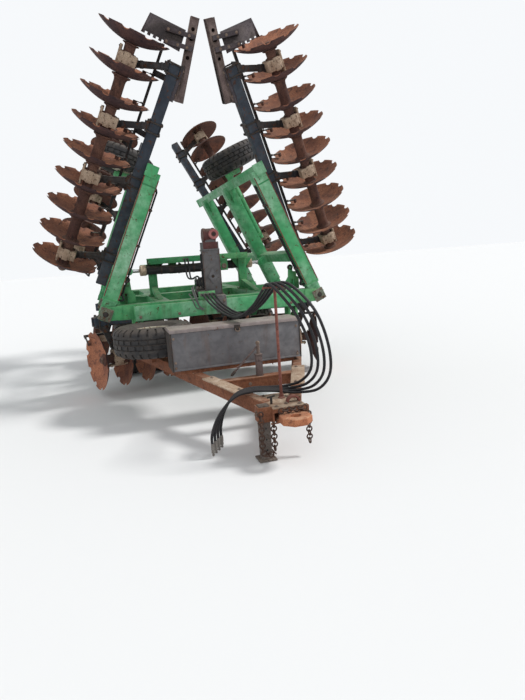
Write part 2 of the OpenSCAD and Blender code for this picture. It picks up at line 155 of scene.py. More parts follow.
def bearing_at(count):
    return (0.5, 2.5, 4.5, 7.5) if count > 6 else (0.5, count - 1.5)


def cylinder_place(s):
    a = math.radians(FOLD)
    x = HINGE_X + LUG_U * math.cos(a) - LUG_W * math.sin(a)
    z = FRAME_Z + LUG_U * math.sin(a) + LUG_W * math.cos(a)
    length = math.hypot(x + CYL_X, z - CYL_Z)
    angle = math.degrees(math.atan2(z - CYL_Z, x + CYL_X))
    return side(s) @ shift(-CYL_X, CYL_Y[s], CYL_Z) @ turn("Y", -angle), length

# Settings shown in the sidebar


def length_of(name, description, **values):
    return FloatProperty(name=name, description=description + ", in millimetres", **values)


def colour_of(name, description, default):
    return FloatVectorProperty(
        name=name, description=description, subtype="COLOR", default=default, min=0, max=1
    )


class HarrowSizes(bpy.types.PropertyGroup):
    """Sizes of the small forms on the harrow"""

    plate_edge: length_of("Plate edge", "Rounding of plate edges", default=2.5, min=0.5, max=6.0)
    disc_plate: length_of("Disc plate", "Thickness of a disc", default=7.5, min=4.0, max=10.0)
    hose_diameter: FloatProperty(
        name="Hose diameter",
        description="Outer diameter of a hydraulic hose",
        default=0.021,
        min=0.01,
        max=0.03,
        unit="LENGTH",
    )
    tread_steps: IntProperty(
        name="Tread steps",
        description="Steps around a tyre, a multiple of four",
        default=120,
        min=24,
        max=160,
    )


class HarrowColours(bpy.types.PropertyGroup):
    """Colours of the finishes"""

    paint: colour_of("Frame paint", "Faded green of the frames", (0.040, 0.300, 0.105))
    # Dark beam paint; its blue tint is a painted sky reflection
    beam_paint: colour_of("Beam paint", "Dark paint of the gang beams", (0.018, 0.028, 0.045))
    rust: colour_of("Disc rust", "Bright rust of the discs", (0.47, 0.190, 0.102))
    tongue: colour_of("Tongue rust", "Brown rust of the tongue", (0.20, 0.075, 0.036))
    floor: colour_of("Floor", "Pale floor of the stage", (0.80, 0.80, 0.79))


def sizes():
    return bpy.context.scene.harrow_sizes


def colours():
    return bpy.context.scene.harrow_colours


# Finishes

DUST = (0.42, 0.36, 0.27)
RUSTY_DUST = (0.45, 0.34, 0.24)


class Finish:
    """A node material under construction."""

    def __init__(self, name):
        self.material = bpy.data.materials.new(name)
        self.material.use_nodes = True
        self.tree = self.material.node_tree
        self.shader = self.tree.nodes["Principled BSDF"]
        self.coords = self.node("ShaderNodeTexCoord")
        self.place = self.coords.outputs["Object"]

    def node(self, kind, **values):
        made = self.tree.nodes.new(kind)
        for name, value in values.items():
            setattr(made, name, value)
        return made

    def link(self, source, target):
        self.tree.links.new(source, target)

    def stretched(self, scale):
        mapping = self.node("ShaderNodeMapping")
        self.link(self.place, mapping.inputs["Vector"])
        mapping.inputs["Scale"].default_value = scale
        return mapping.outputs["Vector"]

    def noise(self, scale, detail=4.0, rough=0.55, vector=None, bend=0.0):
        made = self.node("ShaderNodeTexNoise")
        self.link(vector or self.place, made.inputs["Vector"])
        made.inputs["Scale"].default_value = scale
        made.inputs["Detail"].default_value = detail
        made.inputs["Roughness"].default_value = rough
        made.inputs["Distortion"].default_value = bend
        return made.outputs["Fac"]

    def ramp(self, source, low, high, curve="LINEAR"):
        """0 below low and 1 above high."""
        made = self.node("ShaderNodeMapRange", clamp=True)
        made.interpolation_type = "SMOOTHSTEP" if curve == "SMOOTH" else "LINEAR"
        self.link(source, made.inputs["Value"])
        made.inputs["From Min"].default_value = low
        made.inputs["From Max"].default_value = high
        return made.outputs["Result"]

    def maths(self, kind, a, b):
        made = self.node("ShaderNodeMath", operation=kind)
        for slot, value in zip(made.inputs, (a, b)):
            if isinstance(value, (int, float)):
                slot.default_value = value
            else:
                self.link(value, slot)
        return made.outputs[0]

    def mix(self, factor, a, b):
        made = self.node("ShaderNodeMix", data_type="RGBA", blend_type="MIX")
        for slot, value in ((made.inputs[0], factor), (made.inputs[6], a), (made.inputs[7], b)):
            if isinstance(value, (int, float)):
                slot.default_value = value
            elif isinstance(value, (tuple, list)):
                slot.default_value = (*value[:3], 1)
            else:
                self.link(value, slot)
        return made.outputs[2]

    def upward(self, low=0.35, high=0.9):
        """1 where the surface faces up as it stands."""
        split = self.node("ShaderNodeSeparateXYZ")
        self.link(self.coords.outputs["Normal"], split.inputs[0])
        return self.ramp(split.outputs["Z"], low, high)

    def bump(self, source, strength, distance):
        made = self.node("ShaderNodeBump")
        made.inputs["Strength"].default_value = strength
        made.inputs["Distance"].default_value = distance
        self.link(source, made.inputs["Height"])
        self.link(made.outputs["Normal"], self.shader.inputs["Normal"])

    def colour(self, source):
        self.link(source, self.shader.inputs["Base Color"])

    def rough(self, source):
        self.link(source, self.shader.inputs["Roughness"])


def scaled(colour, k):
    return tuple(min(1.0, c * k) for c in colour[:3])


def painted_steel(name, paint, faded, rust, chips=0.62, dust=0.45, sheen=0.42):
    """Old paint: faded patches, brown chips, running stains and dust on top."""
    f = Finish(name)
    fade = f.ramp(f.noise(1.7, 3, 0.6), 0.35, 0.68, "SMOOTH")
    base = f.mix(fade, paint, faded)
    mottle = f.noise(14, 6, 0.65)
    base = f.mix(f.ramp(mottle, 0.3, 0.75), base, scaled(paint, 0.62))
    stain = f.ramp(f.noise(7, 5, 0.6, f.stretched((1.6, 1.6, 0.25))), 0.56, 0.74)
    base = f.mix(f.maths("MULTIPLY", stain, 0.45), base, scaled(rust, 0.8))
    bare = f.ramp(f.noise(21, 10, 0.72, bend=0.6), chips, chips + 0.035)
    base = f.mix(bare, base, f.mix(f.ramp(f.noise(60, 3), 0.35, 0.65), rust, scaled(rust, 0.45)))
    dusty = f.maths("MULTIPLY", f.upward(), f.ramp(f.noise(5, 5, 0.7), 0.3, 0.7))
    base = f.mix(f.maths("MULTIPLY", dusty, dust), base, DUST)
    f.colour(base)
    wear = f.maths("ADD", f.maths("MULTIPLY", mottle, 0.25), f.maths("MULTIPLY", bare, 0.3))
    f.rough(f.ramp(wear, -sheen, 1 - sheen))
    f.bump(f.maths("SUBTRACT", f.maths("MULTIPLY", f.noise(120, 3), 0.35), bare), 0.35, 0.0012)
    f.shader.inputs["Specular IOR Level"].default_value = 0.4
    return f.material


def rusty_steel(name, light, mid, dark, scale=6.0, patch=0.5, dust=0.25, worn=None):
    """Bare rusty steel, in three tones, with scale and, if given, a worn tone on upward faces that is part
    wear, part painted highlight.
    """
    f = Finish(name)
    broad = f.ramp(f.noise(scale, 5, 0.6, bend=0.4), patch - 0.13, patch + 0.16, "SMOOTH")
    base = f.mix(broad, mid, light)
    blotch = f.noise(scale * 3.6, 8, 0.7, bend=0.8)
    base = f.mix(f.ramp(blotch, 0.52, 0.66), base, dark)
    fine = f.noise(scale * 22, 5, 0.7)
    base = f.mix(f.ramp(fine, 0.42, 0.72), base, scaled(mid, 0.55))
    # Worn patches go on upward faces only, so the tops come out lighter: part real wear, part painted
    # highlight
    if worn:
        patches = f.ramp(f.noise(scale * 1.4, 6, 0.66, bend=1.0), 0.50, 0.66)
        base = f.mix(f.maths("MULTIPLY", patches, f.ramp(f.upward(), 0.0, 1.4)), base, worn)
    dusty = f.maths("MULTIPLY", f.upward(), f.ramp(f.noise(5, 4, 0.7), 0.3, 0.75))
    base = f.mix(f.maths("MULTIPLY", dusty, dust), base, RUSTY_DUST)
    f.colour(base)
    f.rough(f.ramp(fine, -1.6, 0.9))
    f.bump(f.maths("ADD", f.maths("MULTIPLY", blotch, 0.7), f.maths("MULTIPLY", fine, 0.3)), 0.5, 0.0018)
    f.shader.inputs["Specular IOR Level"].default_value = 0.3
    return f.material


def rubber(name, base_colour, dirt, dust=0.5, rough=0.75):
    """Weathered rubber with dry dirt in patches and dust on top."""
    f = Finish(name)
    base = f.mix(f.ramp(f.noise(4, 5, 0.6), 0.35, 0.7), base_colour, scaled(base_colour, 1.7))
    dry = f.ramp(f.noise(9, 8, 0.7, bend=0.5), 0.45, 0.72)
    base = f.mix(f.maths("MULTIPLY", dry, dust), base, dirt)
    dusty = f.maths("MULTIPLY", f.upward(0.2, 0.95), 0.35)
    base = f.mix(dusty, base, dirt)
    f.colour(base)
    f.rough(f.ramp(f.noise(30, 4), -2 * rough, 2 - 2 * rough + 0.9))
    f.bump(f.noise(150, 4, 0.6), 0.25, 0.001)
    f.shader.inputs["Specular IOR Level"].default_value = 0.25
    return f.material


def bright_rod(name):
    f = Finish(name)
    smear = f.noise(12, 5, 0.6, f.stretched((0.4, 3, 3)))
    f.colour(f.mix(f.ramp(smear, 0.5, 0.75), (0.55, 0.55, 0.56), (0.26, 0.17, 0.11)))
    f.rough(f.ramp(smear, 0.2, 1.6))
    f.shader.inputs["Metallic"].default_value = 0.9
    f.bump(f.noise(90, 3), 0.08, 0.0005)
    return f.material


FINISHES = {}
BROWN = (0.105, 0.043, 0.022)


def make_finishes():
    """Makes each finish; a row gives its key and then the arguments of its function."""
    c = colours()
    paint = tuple(c.paint)
    for key, *values in (
        ("green", "Faded green paint", paint, (0.155, 0.42, 0.17), BROWN, 0.6, 0.45),
        # A paler copy of the frame paint for the wing frames and front plate: part fade, part painted light
        ("mint", "Mint faded paint", scaled(paint, 1.25), (0.33, 0.56, 0.38), BROWN, 0.6, 0.45),
        # A darker copy of the frame paint: painted shade
        ("deep_green", "Shaded green paint", scaled(paint, 0.7), paint, BROWN, 0.57, 0.35),
        # Dark beam paint with a painted sky reflection in its blue tint
        ("beam", "Dark beam paint", tuple(c.beam_paint), (0.05, 0.062, 0.078), BROWN, 0.57, 0.5, 0.5),
        ("arm", "Dark arm paint", (0.02, 0.02, 0.024), (0.06, 0.05, 0.046), BROWN, 0.55, 0.5, 0.5),
        ("grey", "Grey sheet paint", (0.13, 0.126, 0.134), (0.195, 0.188, 0.192), (0.14, 0.065, 0.035), 0.63,
         0.35),
        ("mast", "Grey mast paint", (0.12, 0.115, 0.118), (0.175, 0.165, 0.16), (0.13, 0.06, 0.032), 0.58,
         0.4),
        ("hinge", "Dirty hinge plate", (0.085, 0.125, 0.08), (0.23, 0.22, 0.165), (0.12, 0.055, 0.03), 0.54,
         0.5),
        ("maroon", "Maroon paint", (0.085, 0.022, 0.02), (0.15, 0.045, 0.038), (0.09, 0.035, 0.02), 0.58,
         0.4),
        ("pink", "Worn red ring", (0.4, 0.115, 0.115), (0.5, 0.24, 0.2), (0.2, 0.07, 0.05), 0.58, 0.3),
        ("lid", "Lid paint", (0.27, 0.225, 0.215), (0.36, 0.3, 0.28), (0.2, 0.09, 0.055), 0.6, 0.4, 0.35),
        ("rim", "Pale rim paint", (0.44, 0.4, 0.3), (0.58, 0.54, 0.44), (0.2, 0.09, 0.045), 0.56, 0.3),
        ("black", "Black cylinder paint", (0.014, 0.014, 0.016), (0.045, 0.043, 0.042), (0.13, 0.055, 0.03),
         0.6, 0.4, 0.55),
    ):
        FINISHES[key] = painted_steel(*values)
    for key, *values in (
        ("disc", "Disc rust", tuple(c.rust), (0.235, 0.092, 0.058), (0.062, 0.034, 0.036), 4.0, 0.47),
        # Rust of the rear discs, darkened as painted shade
        ("rear_disc", "Rear disc rust", (0.3, 0.115, 0.065), (0.14, 0.062, 0.045), (0.05, 0.03, 0.03), 4.5,
         0.53),
        # Painted shade: a dark tone for the bulging faces of the discs
        ("disc_back", "Disc back", (0.13, 0.062, 0.05), (0.06, 0.032, 0.034), (0.024, 0.016, 0.02), 5, 0.52),
        ("worn", "Worn cream plate", (0.47, 0.35, 0.25), (0.3, 0.185, 0.12), (0.17, 0.08, 0.05), 5, 0.42,
         0.3, (0.56, 0.47, 0.36)),
        ("spool", "Spool rust", (0.21, 0.105, 0.072), (0.105, 0.052, 0.042), (0.035, 0.022, 0.022), 5, 0.52),
        ("housing", "Tan housing", (0.64, 0.5, 0.37), (0.46, 0.33, 0.235), (0.2, 0.12, 0.08), 6, 0.42, 0.35),
        ("tongue", "Brown tongue rust", (0.275, 0.108, 0.058), tuple(c.tongue), (0.095, 0.038, 0.024), 2.6,
         0.5, 0.35, (0.4, 0.3, 0.22)),
        ("eye", "Orange eye rust", (0.5, 0.2, 0.098), (0.34, 0.115, 0.052), (0.13, 0.045, 0.028), 9, 0.45,
         0.25, (0.62, 0.36, 0.22)),
        ("chain", "Chain rust", (0.11, 0.058, 0.04), (0.06, 0.034, 0.027), (0.025, 0.017, 0.015), 20, 0.5),
        ("stand", "Dark stand", (0.072, 0.062, 0.055), (0.04, 0.035, 0.032), (0.085, 0.038, 0.022), 7, 0.5),
        ("leg", "Grey brown leg", (0.19, 0.16, 0.14), (0.115, 0.094, 0.082), (0.07, 0.04, 0.028), 5, 0.5),
        ("hose_rod", "Hose rod rust", (0.255, 0.092, 0.068), (0.165, 0.06, 0.047), (0.08, 0.03, 0.025), 9,
         0.45),
        # The lighter worn tops of the bar are partly a painted highlight
        ("bar", "Grey brown bar", (0.19, 0.138, 0.124), (0.125, 0.09, 0.084), (0.06, 0.038, 0.036), 6, 0.5,
         0.25, (0.36, 0.27, 0.22)),
        ("slate", "Slate plate", (0.105, 0.085, 0.088), (0.07, 0.058, 0.064), (0.04, 0.032, 0.036), 4, 0.55,
         0.15),
        ("bolt", "Bolt steel", (0.3, 0.235, 0.19), (0.17, 0.115, 0.085), (0.07, 0.04, 0.03), 30, 0.5),
        ("coupler", "Coupler steel", (0.3, 0.28, 0.255), (0.2, 0.18, 0.16), (0.085, 0.065, 0.055), 26, 0.5,
         0.1),
    ):
        FINISHES[key] = rusty_steel(*values)
    for key, *values in (
        ("tyre", "Tyre rubber", (0.024, 0.023, 0.024), (0.155, 0.125, 0.1), 0.42),
        ("hose", "Hose rubber", (0.01, 0.01, 0.012), (0.07, 0.06, 0.055), 0.25, 0.5),
        ("hose_grey", "Grey hose", (0.1, 0.1, 0.098), (0.2, 0.18, 0.16), 0.3, 0.6),
    ):
        FINISHES[key] = rubber(*values)
    FINISHES["rod"] = bright_rod("Polished rod")


# Modelling steps; lengths are in millimetres


def deselect():
    bpy.ops.object.select_all(action="DESELECT")


def activate(piece):
    deselect()
    piece.select_set(True)
    bpy.context.view_layer.objects.active = piece


def mode(name):
    bpy.ops.object.mode_set(mode=name)


def select(action="SELECT"):
    """Selects or deselects the whole mesh in edit mode."""
    bpy.ops.mesh.select_all(action=action)


def linked(piece):
    bpy.context.collection.objects.link(piece)
    return piece


def paint(piece, *finishes):
    piece.data.materials.clear()
    for finish in finishes:
        piece.data.materials.append(FINISHES[finish])
    return piece


def round_edges(piece, width, angle=48):
    if width > 0:
        activate(piece)
        made = piece.modifiers.new("Rounded edges", "BEVEL")
        made.width = width * MM
        made.segments = 2
        made.limit_method = "ANGLE"
        made.angle_limit = math.radians(angle)
        bpy.ops.object.modifier_apply(modifier=made.name)
    return piece


def block(x1, x2, y1, y2, z1, z2, finish, edge=2.5, segments=2):
    """A bar, plate or tube between two corners, with rounded edges."""
    deselect()
    low = Vector((min(x1, x2), min(y1, y2), min(z1, z2))) * MM
    high = Vector((max(x1, x2), max(y1, y2), max(z1, z2))) * MM
    bpy.ops.mesh.primitive_cube_add(size=1, location=(low + high) / 2, scale=high - low)
    bpy.ops.object.transform_apply(location=True, rotation=True, scale=True)
    edge = min(edge, 0.45 * min(high - low) / MM)
    if edge > 0:
        mode("EDIT")
        select()
        bpy.ops.mesh.bevel(offset=edge * MM, segments=segments, affect="EDGES")
        mode("OBJECT")
    return paint(bpy.context.object, finish)


def pair(x1, x2, *values):
    """A block and its mirror image about X = 0."""
    return [block(x1, x2, *values), block(-x2, -x1, *values)]


def rod(start, end, radius, finish, steps=16, edge=0.0):
    """A round bar between two points."""
    deselect()
    a, b = Vector(start) * MM, Vector(end) * MM
    way = b - a
    bpy.ops.mesh.primitive_cylinder_add(
        vertices=steps, radius=radius * MM, depth=way.length, location=(0, 0, 0)
    )
    piece = bpy.context.object
    piece.data.transform(Matrix.Translation((a + b) / 2) @ way.to_track_quat("Z", "Y").to_matrix().to_4x4())
    return round_edges(paint(piece, finish), edge, 60)


def bolt(centre, axis, size, finish="bolt"):
    """A hexagon head on its washer, standing off along axis."""
    c, way = Vector(centre), Vector(axis).normalized()
    return [
        rod(c, c + way * size * 0.62, size, finish, 6, size * 0.12),
        rod(c - way, c + way * size * 0.16, size * 1.35, finish, 14),
        rod(c, c + way * size * 0.95, size * 0.5, finish, 10),
    ]


def bolts(xs, ys, zs, axis, size, finish="bolt"):
    """A bolt at each point of a grid."""
    return [bolt((x, y, z), axis, size, finish) for x in xs for y in ys for z in zs]


def outline(points):
    """A closed line of edges through points, left selected in edit mode."""
    deselect()
    spots = [Vector(p) * MM for p in points]
    bpy.ops.mesh.primitive_plane_add(size=0.001, location=spots[0], enter_editmode=True)
    bpy.ops.mesh.select_mode(type="VERT")
    select()
    bpy.ops.mesh.merge(type="CENTER")
    for last, spot in zip(spots, spots[1:] + spots[:1]):
        bpy.ops.mesh.extrude_region_move(TRANSFORM_OT_translate={"value": spot - last})
    select()
    bpy.ops.mesh.remove_doubles(threshold=SAME_POINT)
    select()


def finished(finish):
    """Turns the mesh in edit mode into a painted piece with its faces outward."""
    select()
    bpy.ops.mesh.normals_make_consistent(inside=False)
    mode("OBJECT")
    bpy.ops.object.transform_apply(location=True, rotation=True, scale=True)
    return paint(bpy.context.object, finish)


def turned(points, finish, steps=32, axis="X", at=(0, 0, 0)):
    """A closed outline of (radius, along), spun about its axis and set down at a point."""
    outline([(along, 0, radius) for radius, along in points])
    bpy.ops.mesh.spin(steps=steps, angle=math.tau, center=(0, 0, 0), axis=(1, 0, 0))
    select()
    bpy.ops.mesh.remove_doubles(threshold=SAME_POINT)
    piece = finished(finish)
    piece.data.transform(shift(*at) @ {"X": Matrix(), "Y": turn("Z", 90), "Z": turn("Y", -90)}[axis])
    return piece


def slab(points, thick, finish, edge=2.0):
    """A flat plate: an outline in the XZ plane, thickened along +Y."""
    outline([(x, 0, z) for x, z in points])
    bpy.ops.mesh.edge_face_add()
    bpy.ops.mesh.extrude_region_move(TRANSFORM_OT_translate={"value": (0, thick * MM, 0)})
    return round_edges(finished(finish), edge, 40)


def round_curve(name, spots, radius, rings, steps):
    """A round curve through spots; its measures are in metres."""
    curve = bpy.data.curves.new(name, "CURVE")
    curve.dimensions = "3D"
    curve.bevel_depth = radius
    curve.bevel_resolution = rings
    curve.resolution_u = steps
    curve.use_fill_caps = True
    knots = curve.splines.new("BEZIER").bezier_points
    last = len(spots) - 1
    knots.add(last)
    for i, (knot, spot) in enumerate(zip(knots, spots)):
        way = (spots[min(last, i + 1)] - spots[max(0, i - 1)]) / 6
        knot.co = spot
        knot.handle_left_type = knot.handle_right_type = "FREE"
        knot.handle_left = spot - way
        knot.handle_right = spot + way
    return linked(bpy.data.objects.new(name, curve))


def pipe(points, radius, finish, steps=5):
    """A bent pipe or hose through points, as a mesh."""
    activate(round_curve("Pipe", [Vector(p) * MM for p in points], radius * MM, 2, steps))
    bpy.ops.object.convert(target="MESH")
    return paint(bpy.context.object, finish)


def cut(piece, cutter):
    """Takes the cutter's shape out of the piece."""
    activate(piece)
    made = piece.modifiers.new("Cut", "BOOLEAN")
    made.object = cutter
    made.operation = "DIFFERENCE"
    made.solver = "EXACT"
    bpy.ops.object.modifier_apply(modifier=made.name)
    bpy.data.objects.remove(cutter, do_unlink=True)
    return piece


def flat(parts):
    out = []
    for part in parts:
        out.extend(flat(part) if isinstance(part, (list, tuple)) else [part])
    return out


def join(parts):
    parts = flat(parts)
    deselect()
    for part in parts:
        part.select_set(True)
    bpy.context.view_layer.objects.active = parts[0]
    if len(parts) > 1:
        bpy.ops.object.join()
    return parts[0]


def moved(piece, matrix):
    piece.data.transform(matrix)
    if matrix.determinant() < 0:
        piece.data.flip_normals()
    return piece


def all_moved(parts, matrix):
    return [moved(part, matrix) for part in flat(parts)]


def twin_of(piece):
    """A copy of the piece, with its own mesh."""
    twin = piece.copy()
    twin.data = piece.data.copy()
    return linked(twin)


def copies(piece, places):
    """A copy of the piece at each place; the first one is used up."""
    made = [moved(twin_of(piece), place) for place in places]
    bpy.data.objects.remove(piece, do_unlink=True)
    return made


def per_gap(piece, gaps):
    """Copies of the piece along a gang, counted in gaps between its discs."""
    return copies(piece, [shift(gap * DISC_GAP, 0, 0) for gap in gaps])


def for_both_sides(model):
    """Side, letter and own piece for each side, out of one model."""
    return [(s, letter, piece) for (s, letter), piece in zip(SIDES, (twin_of(model), model))]


def fit(name, parts, body, place=None, replaces=(), smooth=38):
    """Joins parts into one named piece at its place, riding on its body."""
    piece = join(parts)
    if place is not None:
        moved(piece, place)
    piece.name = name
    piece.data.name = name
    activate(piece)
    bpy.ops.object.shade_smooth_by_angle(angle=math.radians(smooth))
    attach(piece, body)
    if replaces:
        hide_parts(*replaces)
    return piece


def fit_frame(name, parts, height=0):
    """Fits parts with no node of their own to the frame."""
    return fit(name, parts, "frame", shift(0, Y0, height))


def body_of_node(node):
    """The CAD body that a node rides on."""
    for body, nodes in frame["record"]["behaviour"]["bodies"].items():
        if node in nodes:
            return body
    raise RuntimeError("no body carries the node " + node)


def dressed(node, finish, edge):
    """A piece in the shape of a CAD node, its mesh merged and its edges rounded."""
    piece = linked(bpy.data.objects.new(node + "_skin", frame["nodes"][node].data.copy()))
    activate(piece)
    mode("EDIT")
    select()
    bpy.ops.mesh.remove_doubles(threshold=0.00002)
    bpy.ops.mesh.dissolve_limited(angle_limit=math.radians(0.6))
    mode("OBJECT")
    return paint(round_edges(piece, edge, 50), finish)


def fit_node(node, suffix, piece):
    """Fits a dressed piece in the place of its node."""
    return fit(node + suffix, [piece], body_of_node(node), None, (node,))


def second_finish(piece, finish, chosen, into=None):
    """Paints the faces whose centre, in millimetres of the frame into, is chosen."""
    piece.data.materials.append(FINISHES[finish])
    back = (into or Matrix()).inverted()
    for face in piece.data.polygons:
        if chosen(back @ face.center / MM):
            face.material_index = 1


# Camera: its place and lens, and its yaw, pitch and roll in degrees

VIEW_FROM = Vector((-1.181, -5.726, 1.479))
VIEW_ANGLES = (16.19, 10.33, -3.96)
VIEW_LENS = 36.9

# Stage: floor in metres; skies as (colour, strength); lamps as (name, way to it, strength, spread)

FLOOR_SIZE = 160
SKY_LIGHT = ((0.93, 0.96, 1.0), 0.62)
SKY_SEEN = ((0.93, 0.95, 0.97), 1.0)
LAMPS = (
    ("Key lamp", (1.0, -0.25, 1.15), 2.3, 12),
    ("Fill lamp", (-0.6, -1.0, 0.5), 0.45, 60),
)

# Hoses: the route's points from the exit on, and the step from each hose to the next

HOSE_ROUTE = [
    (-170, -81, 1075), (-170, -200, 1075), (-150, -450, 1000), (-110, -850, 935),
    (-80, -1250, 940), (-60, -1650, 1060), (-45, -1900, 1190), (-40, -2020, 1247),
    (-10, -2130, 1212), (90, -2230, 1040), (170, -2250, 830), (200, -2190, 640),
    (170, -2060, 520), (90, -1930, 462), (-20, -1860, 450), (-160, -1830, 455),
    (-290, -1850, 430), (-390, -1880, 330), (-437, -1900, 205), (-440, -1905, 110),
]
HOSE_STEP = [
    (40, 0, 0), (40, 0, 0), (38, 0, 0), (34, 0, 4), (30, 0, 6), (28, 0, 4), (28, -4, 1),
    (28, -9, 2), (34, -20, 6), (36, -30, 8), (33, -35, 0), (33, -36, -10),
    (30, -34, -18), (16, -34, -12), (0, -36, -2), (-6, -36, 0), (-12, -31, 0),
    (-22, -26, -6), (-28, -24, -8), (-28, -23, -10),
]
HOSE_LENGTH = (3.940, 4.029, 4.122, 4.220)

# Turned outlines of the hose ends, as (outline, sides)

PLUG_TIP = [
    (3, -62), (7, -62), (9.6, -58), (9.6, -50), (7.6, -47), (7.6, -43), (10, -40), (10, -38), (3, -38)
]
PLUG_NUT = [
    (3, -40), (12, -40), (13.6, -38), (13.6, -26), (11.6, -24), (11.6, -18), (13.6, -16), (13.6, 0), (3, 0),
]
COUPLER = (
    (PLUG_TIP, 20),
    (PLUG_NUT, 6),
    ([(10.7, -2), (13.4, -2), (13.8, 8), (13.4, 30), (12.4, 34), (10.7, 34)], 20),
)
FERRULE = (
    ([(11, 0), (16, 0), (16, -18), (14, -20), (14, -60), (12.4, -64), (11, -64)], 20),
    ([(11.2, 1), (19, 1), (19, -13), (17, -15), (11.2, -15)], 6),
)


def hose_points(index):
    return [
        (Vector(p) + index * Vector(d) + Vector((0, Y0, 0))) * MM
        for p, d in zip(HOSE_ROUTE, HOSE_STEP)
    ]


class HARROW_OT_camera(bpy.types.Operator):
    """Set the camera at the photograph's viewing angle"""

    bl_idname = "harrow.camera"
    bl_label = "Camera"

    def execute(self, context):
        lens = bpy.data.cameras.new("Camera")
        camera = linked(bpy.data.objects.new("Camera", lens))
        lens.sensor_fit = "HORIZONTAL"
        lens.sensor_width = 36
        lens.lens = VIEW_LENS
        lens.clip_end = 300
        yaw, pitch, roll = (math.radians(a) for a in VIEW_ANGLES)
        right = Vector((math.cos(yaw), -math.sin(yaw), 0))
        ahead = Vector((math.sin(yaw), math.cos(yaw), 0))
        up = Vector((0, 0, 1))
        forward = ahead * math.cos(pitch) - up * math.sin(pitch)
        above = ahead * math.sin(pitch) + up * math.cos(pitch)
        cam_right = right * math.cos(roll) + above * math.sin(roll)
        cam_up = above * math.cos(roll) - right * math.sin(roll)
        turn_to = Matrix((cam_right, cam_up, -forward)).transposed().to_4x4()
        camera.matrix_world = shift(0, Y0, 0) @ Matrix.Translation(VIEW_FROM) @ turn_to
        context.scene.camera = camera
        return {"FINISHED"}


class HARROW_OT_hoses(bpy.types.Operator):
    """Lay the four free hydraulic hoses along their routes, with their couplers"""

    bl_idname = "harrow.hoses"
    bl_label = "Hydraulic hoses"

    def execute(self, context):
        for index, length in enumerate(HOSE_LENGTH):
            number = "_%d" % (index + 1)
            points = hose_points(index)
            hose = round_curve("hose%s_rubber" % number, points, sizes().hose_diameter / 2, 4, 10)
            paint(hose, "hose")
            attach(hose, "frame")
            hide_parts("hose" + number)
            parts = [turned(line, "coupler", steps, "Z") for line, steps in COUPLER]
            node = () if index else ("plugs",)
            tail = fit("hose_end" + number, parts, "frame", shift(*points[-1] / MM), node)
            parts = [turned(line, "coupler", steps, "Y") for line, steps in FERRULE]
            head = fit("hose_start" + number, parts, "frame", shift(*points[0] / MM))
        return {"FINISHED"}


class HARROW_OT_stage(bpy.types.Operator):
    """Lay the pale floor and hang the soft lamps"""

    bl_idname = "harrow.stage"
    bl_label = "Stage"

    def execute(self, context):
        bpy.ops.mesh.primitive_plane_add(size=FLOOR_SIZE, location=(0, 0, -0.001))
        floor = context.object
        floor.name = "Floor"
        material = bpy.data.materials.new("Pale floor")
        material.use_nodes = True
        shader = material.node_tree.nodes["Principled BSDF"]
        shader.inputs["Base Color"].default_value = (*colours().floor, 1)
        shader.inputs["Roughness"].default_value = 0.9
        floor.data.materials.append(material)
        world = bpy.data.worlds.new("Soft sky")
        context.scene.world = world
        world.use_nodes = True
        tree = world.node_tree
        light = tree.nodes["Background"]
        seen = tree.nodes.new("ShaderNodeBackground")
        for sky, (colour, strength) in ((light, SKY_LIGHT), (seen, SKY_SEEN)):
            sky.inputs["Color"].default_value = (*colour, 1)
            sky.inputs["Strength"].default_value = strength
        rays = tree.nodes.new("ShaderNodeLightPath")
        either = tree.nodes.new("ShaderNodeMath")
        either.operation = "MAXIMUM"
        blend = tree.nodes.new("ShaderNodeMixShader")
        for source, target in (
            (rays.outputs["Is Camera Ray"], either.inputs[0]),
            (rays.outputs["Is Glossy Ray"], either.inputs[1]),
            (either.outputs[0], blend.inputs[0]),
            (light.outputs[0], blend.inputs[1]),
            (seen.outputs[0], blend.inputs[2]),
            (blend.outputs[0], tree.nodes["World Output"].inputs["Surface"]),
        ):
            tree.links.new(source, target)
        for name, way, strength, spread in LAMPS:
            lamp = bpy.data.lights.new(name, "SUN")
            lamp.energy = strength
            lamp.angle = math.radians(spread)
            holder = linked(bpy.data.objects.new(name, lamp))
            holder.rotation_euler = Vector(way).to_track_quat("Z", "Y").to_euler()
        context.scene.view_settings.view_transform = "Standard"
        return {"FINISHED"}


# Gangs


def disc_mesh(dish, notched):
    """One dished disc about X, notched at the rim for the front gangs."""
    half = sizes().disc_plate / 2
    radii = [22, 60, 100, 140, 180, 215, 250, 282, 308]
    notch_at, notch_r = DISC_R + 8, 37

    def spot(radius, off):
        sag = DISC_CURVE - math.sqrt(DISC_CURVE**2 - radius * radius)
        return radius, -dish * sag + off

    edge = [spot(DISC_R - 3, -half * 0.35), spot(DISC_R, 0), spot(DISC_R - 3, half * 0.35)]
    line = [spot(r, -half) for r in radii] + edge + [spot(r, half) for r in reversed(radii)]
    piece = turned(line, "disc", 60 if notched else 48)
    if notched:
        tool = rod((-170, 0, notch_at), (170, 0, notch_at), notch_r, "disc", 14)
        cut(piece, join(copies(tool, [turn("X", 360 * k / NOTCHES + 7) for k in range(NOTCHES)])))
    # The hollow side is brightly rusted. The bulging side takes a dark tone of painted shade, and on the rear
    # gangs the hollow side takes a rust darkened as painted shade
    paint(piece, "disc" if notched else "rear_disc", "disc_back")
    for face in piece.data.polygons:
        face.material_index = 1 if face.normal.x * dish > 0.3 else 0
    return piece


def between_discs(half, steps):
    """A turned piece that fills the gap between two discs, from half its outline."""
    return turned(half + [(radius, DISC_GAP - x) for radius, x in reversed(half)], "spool", steps)


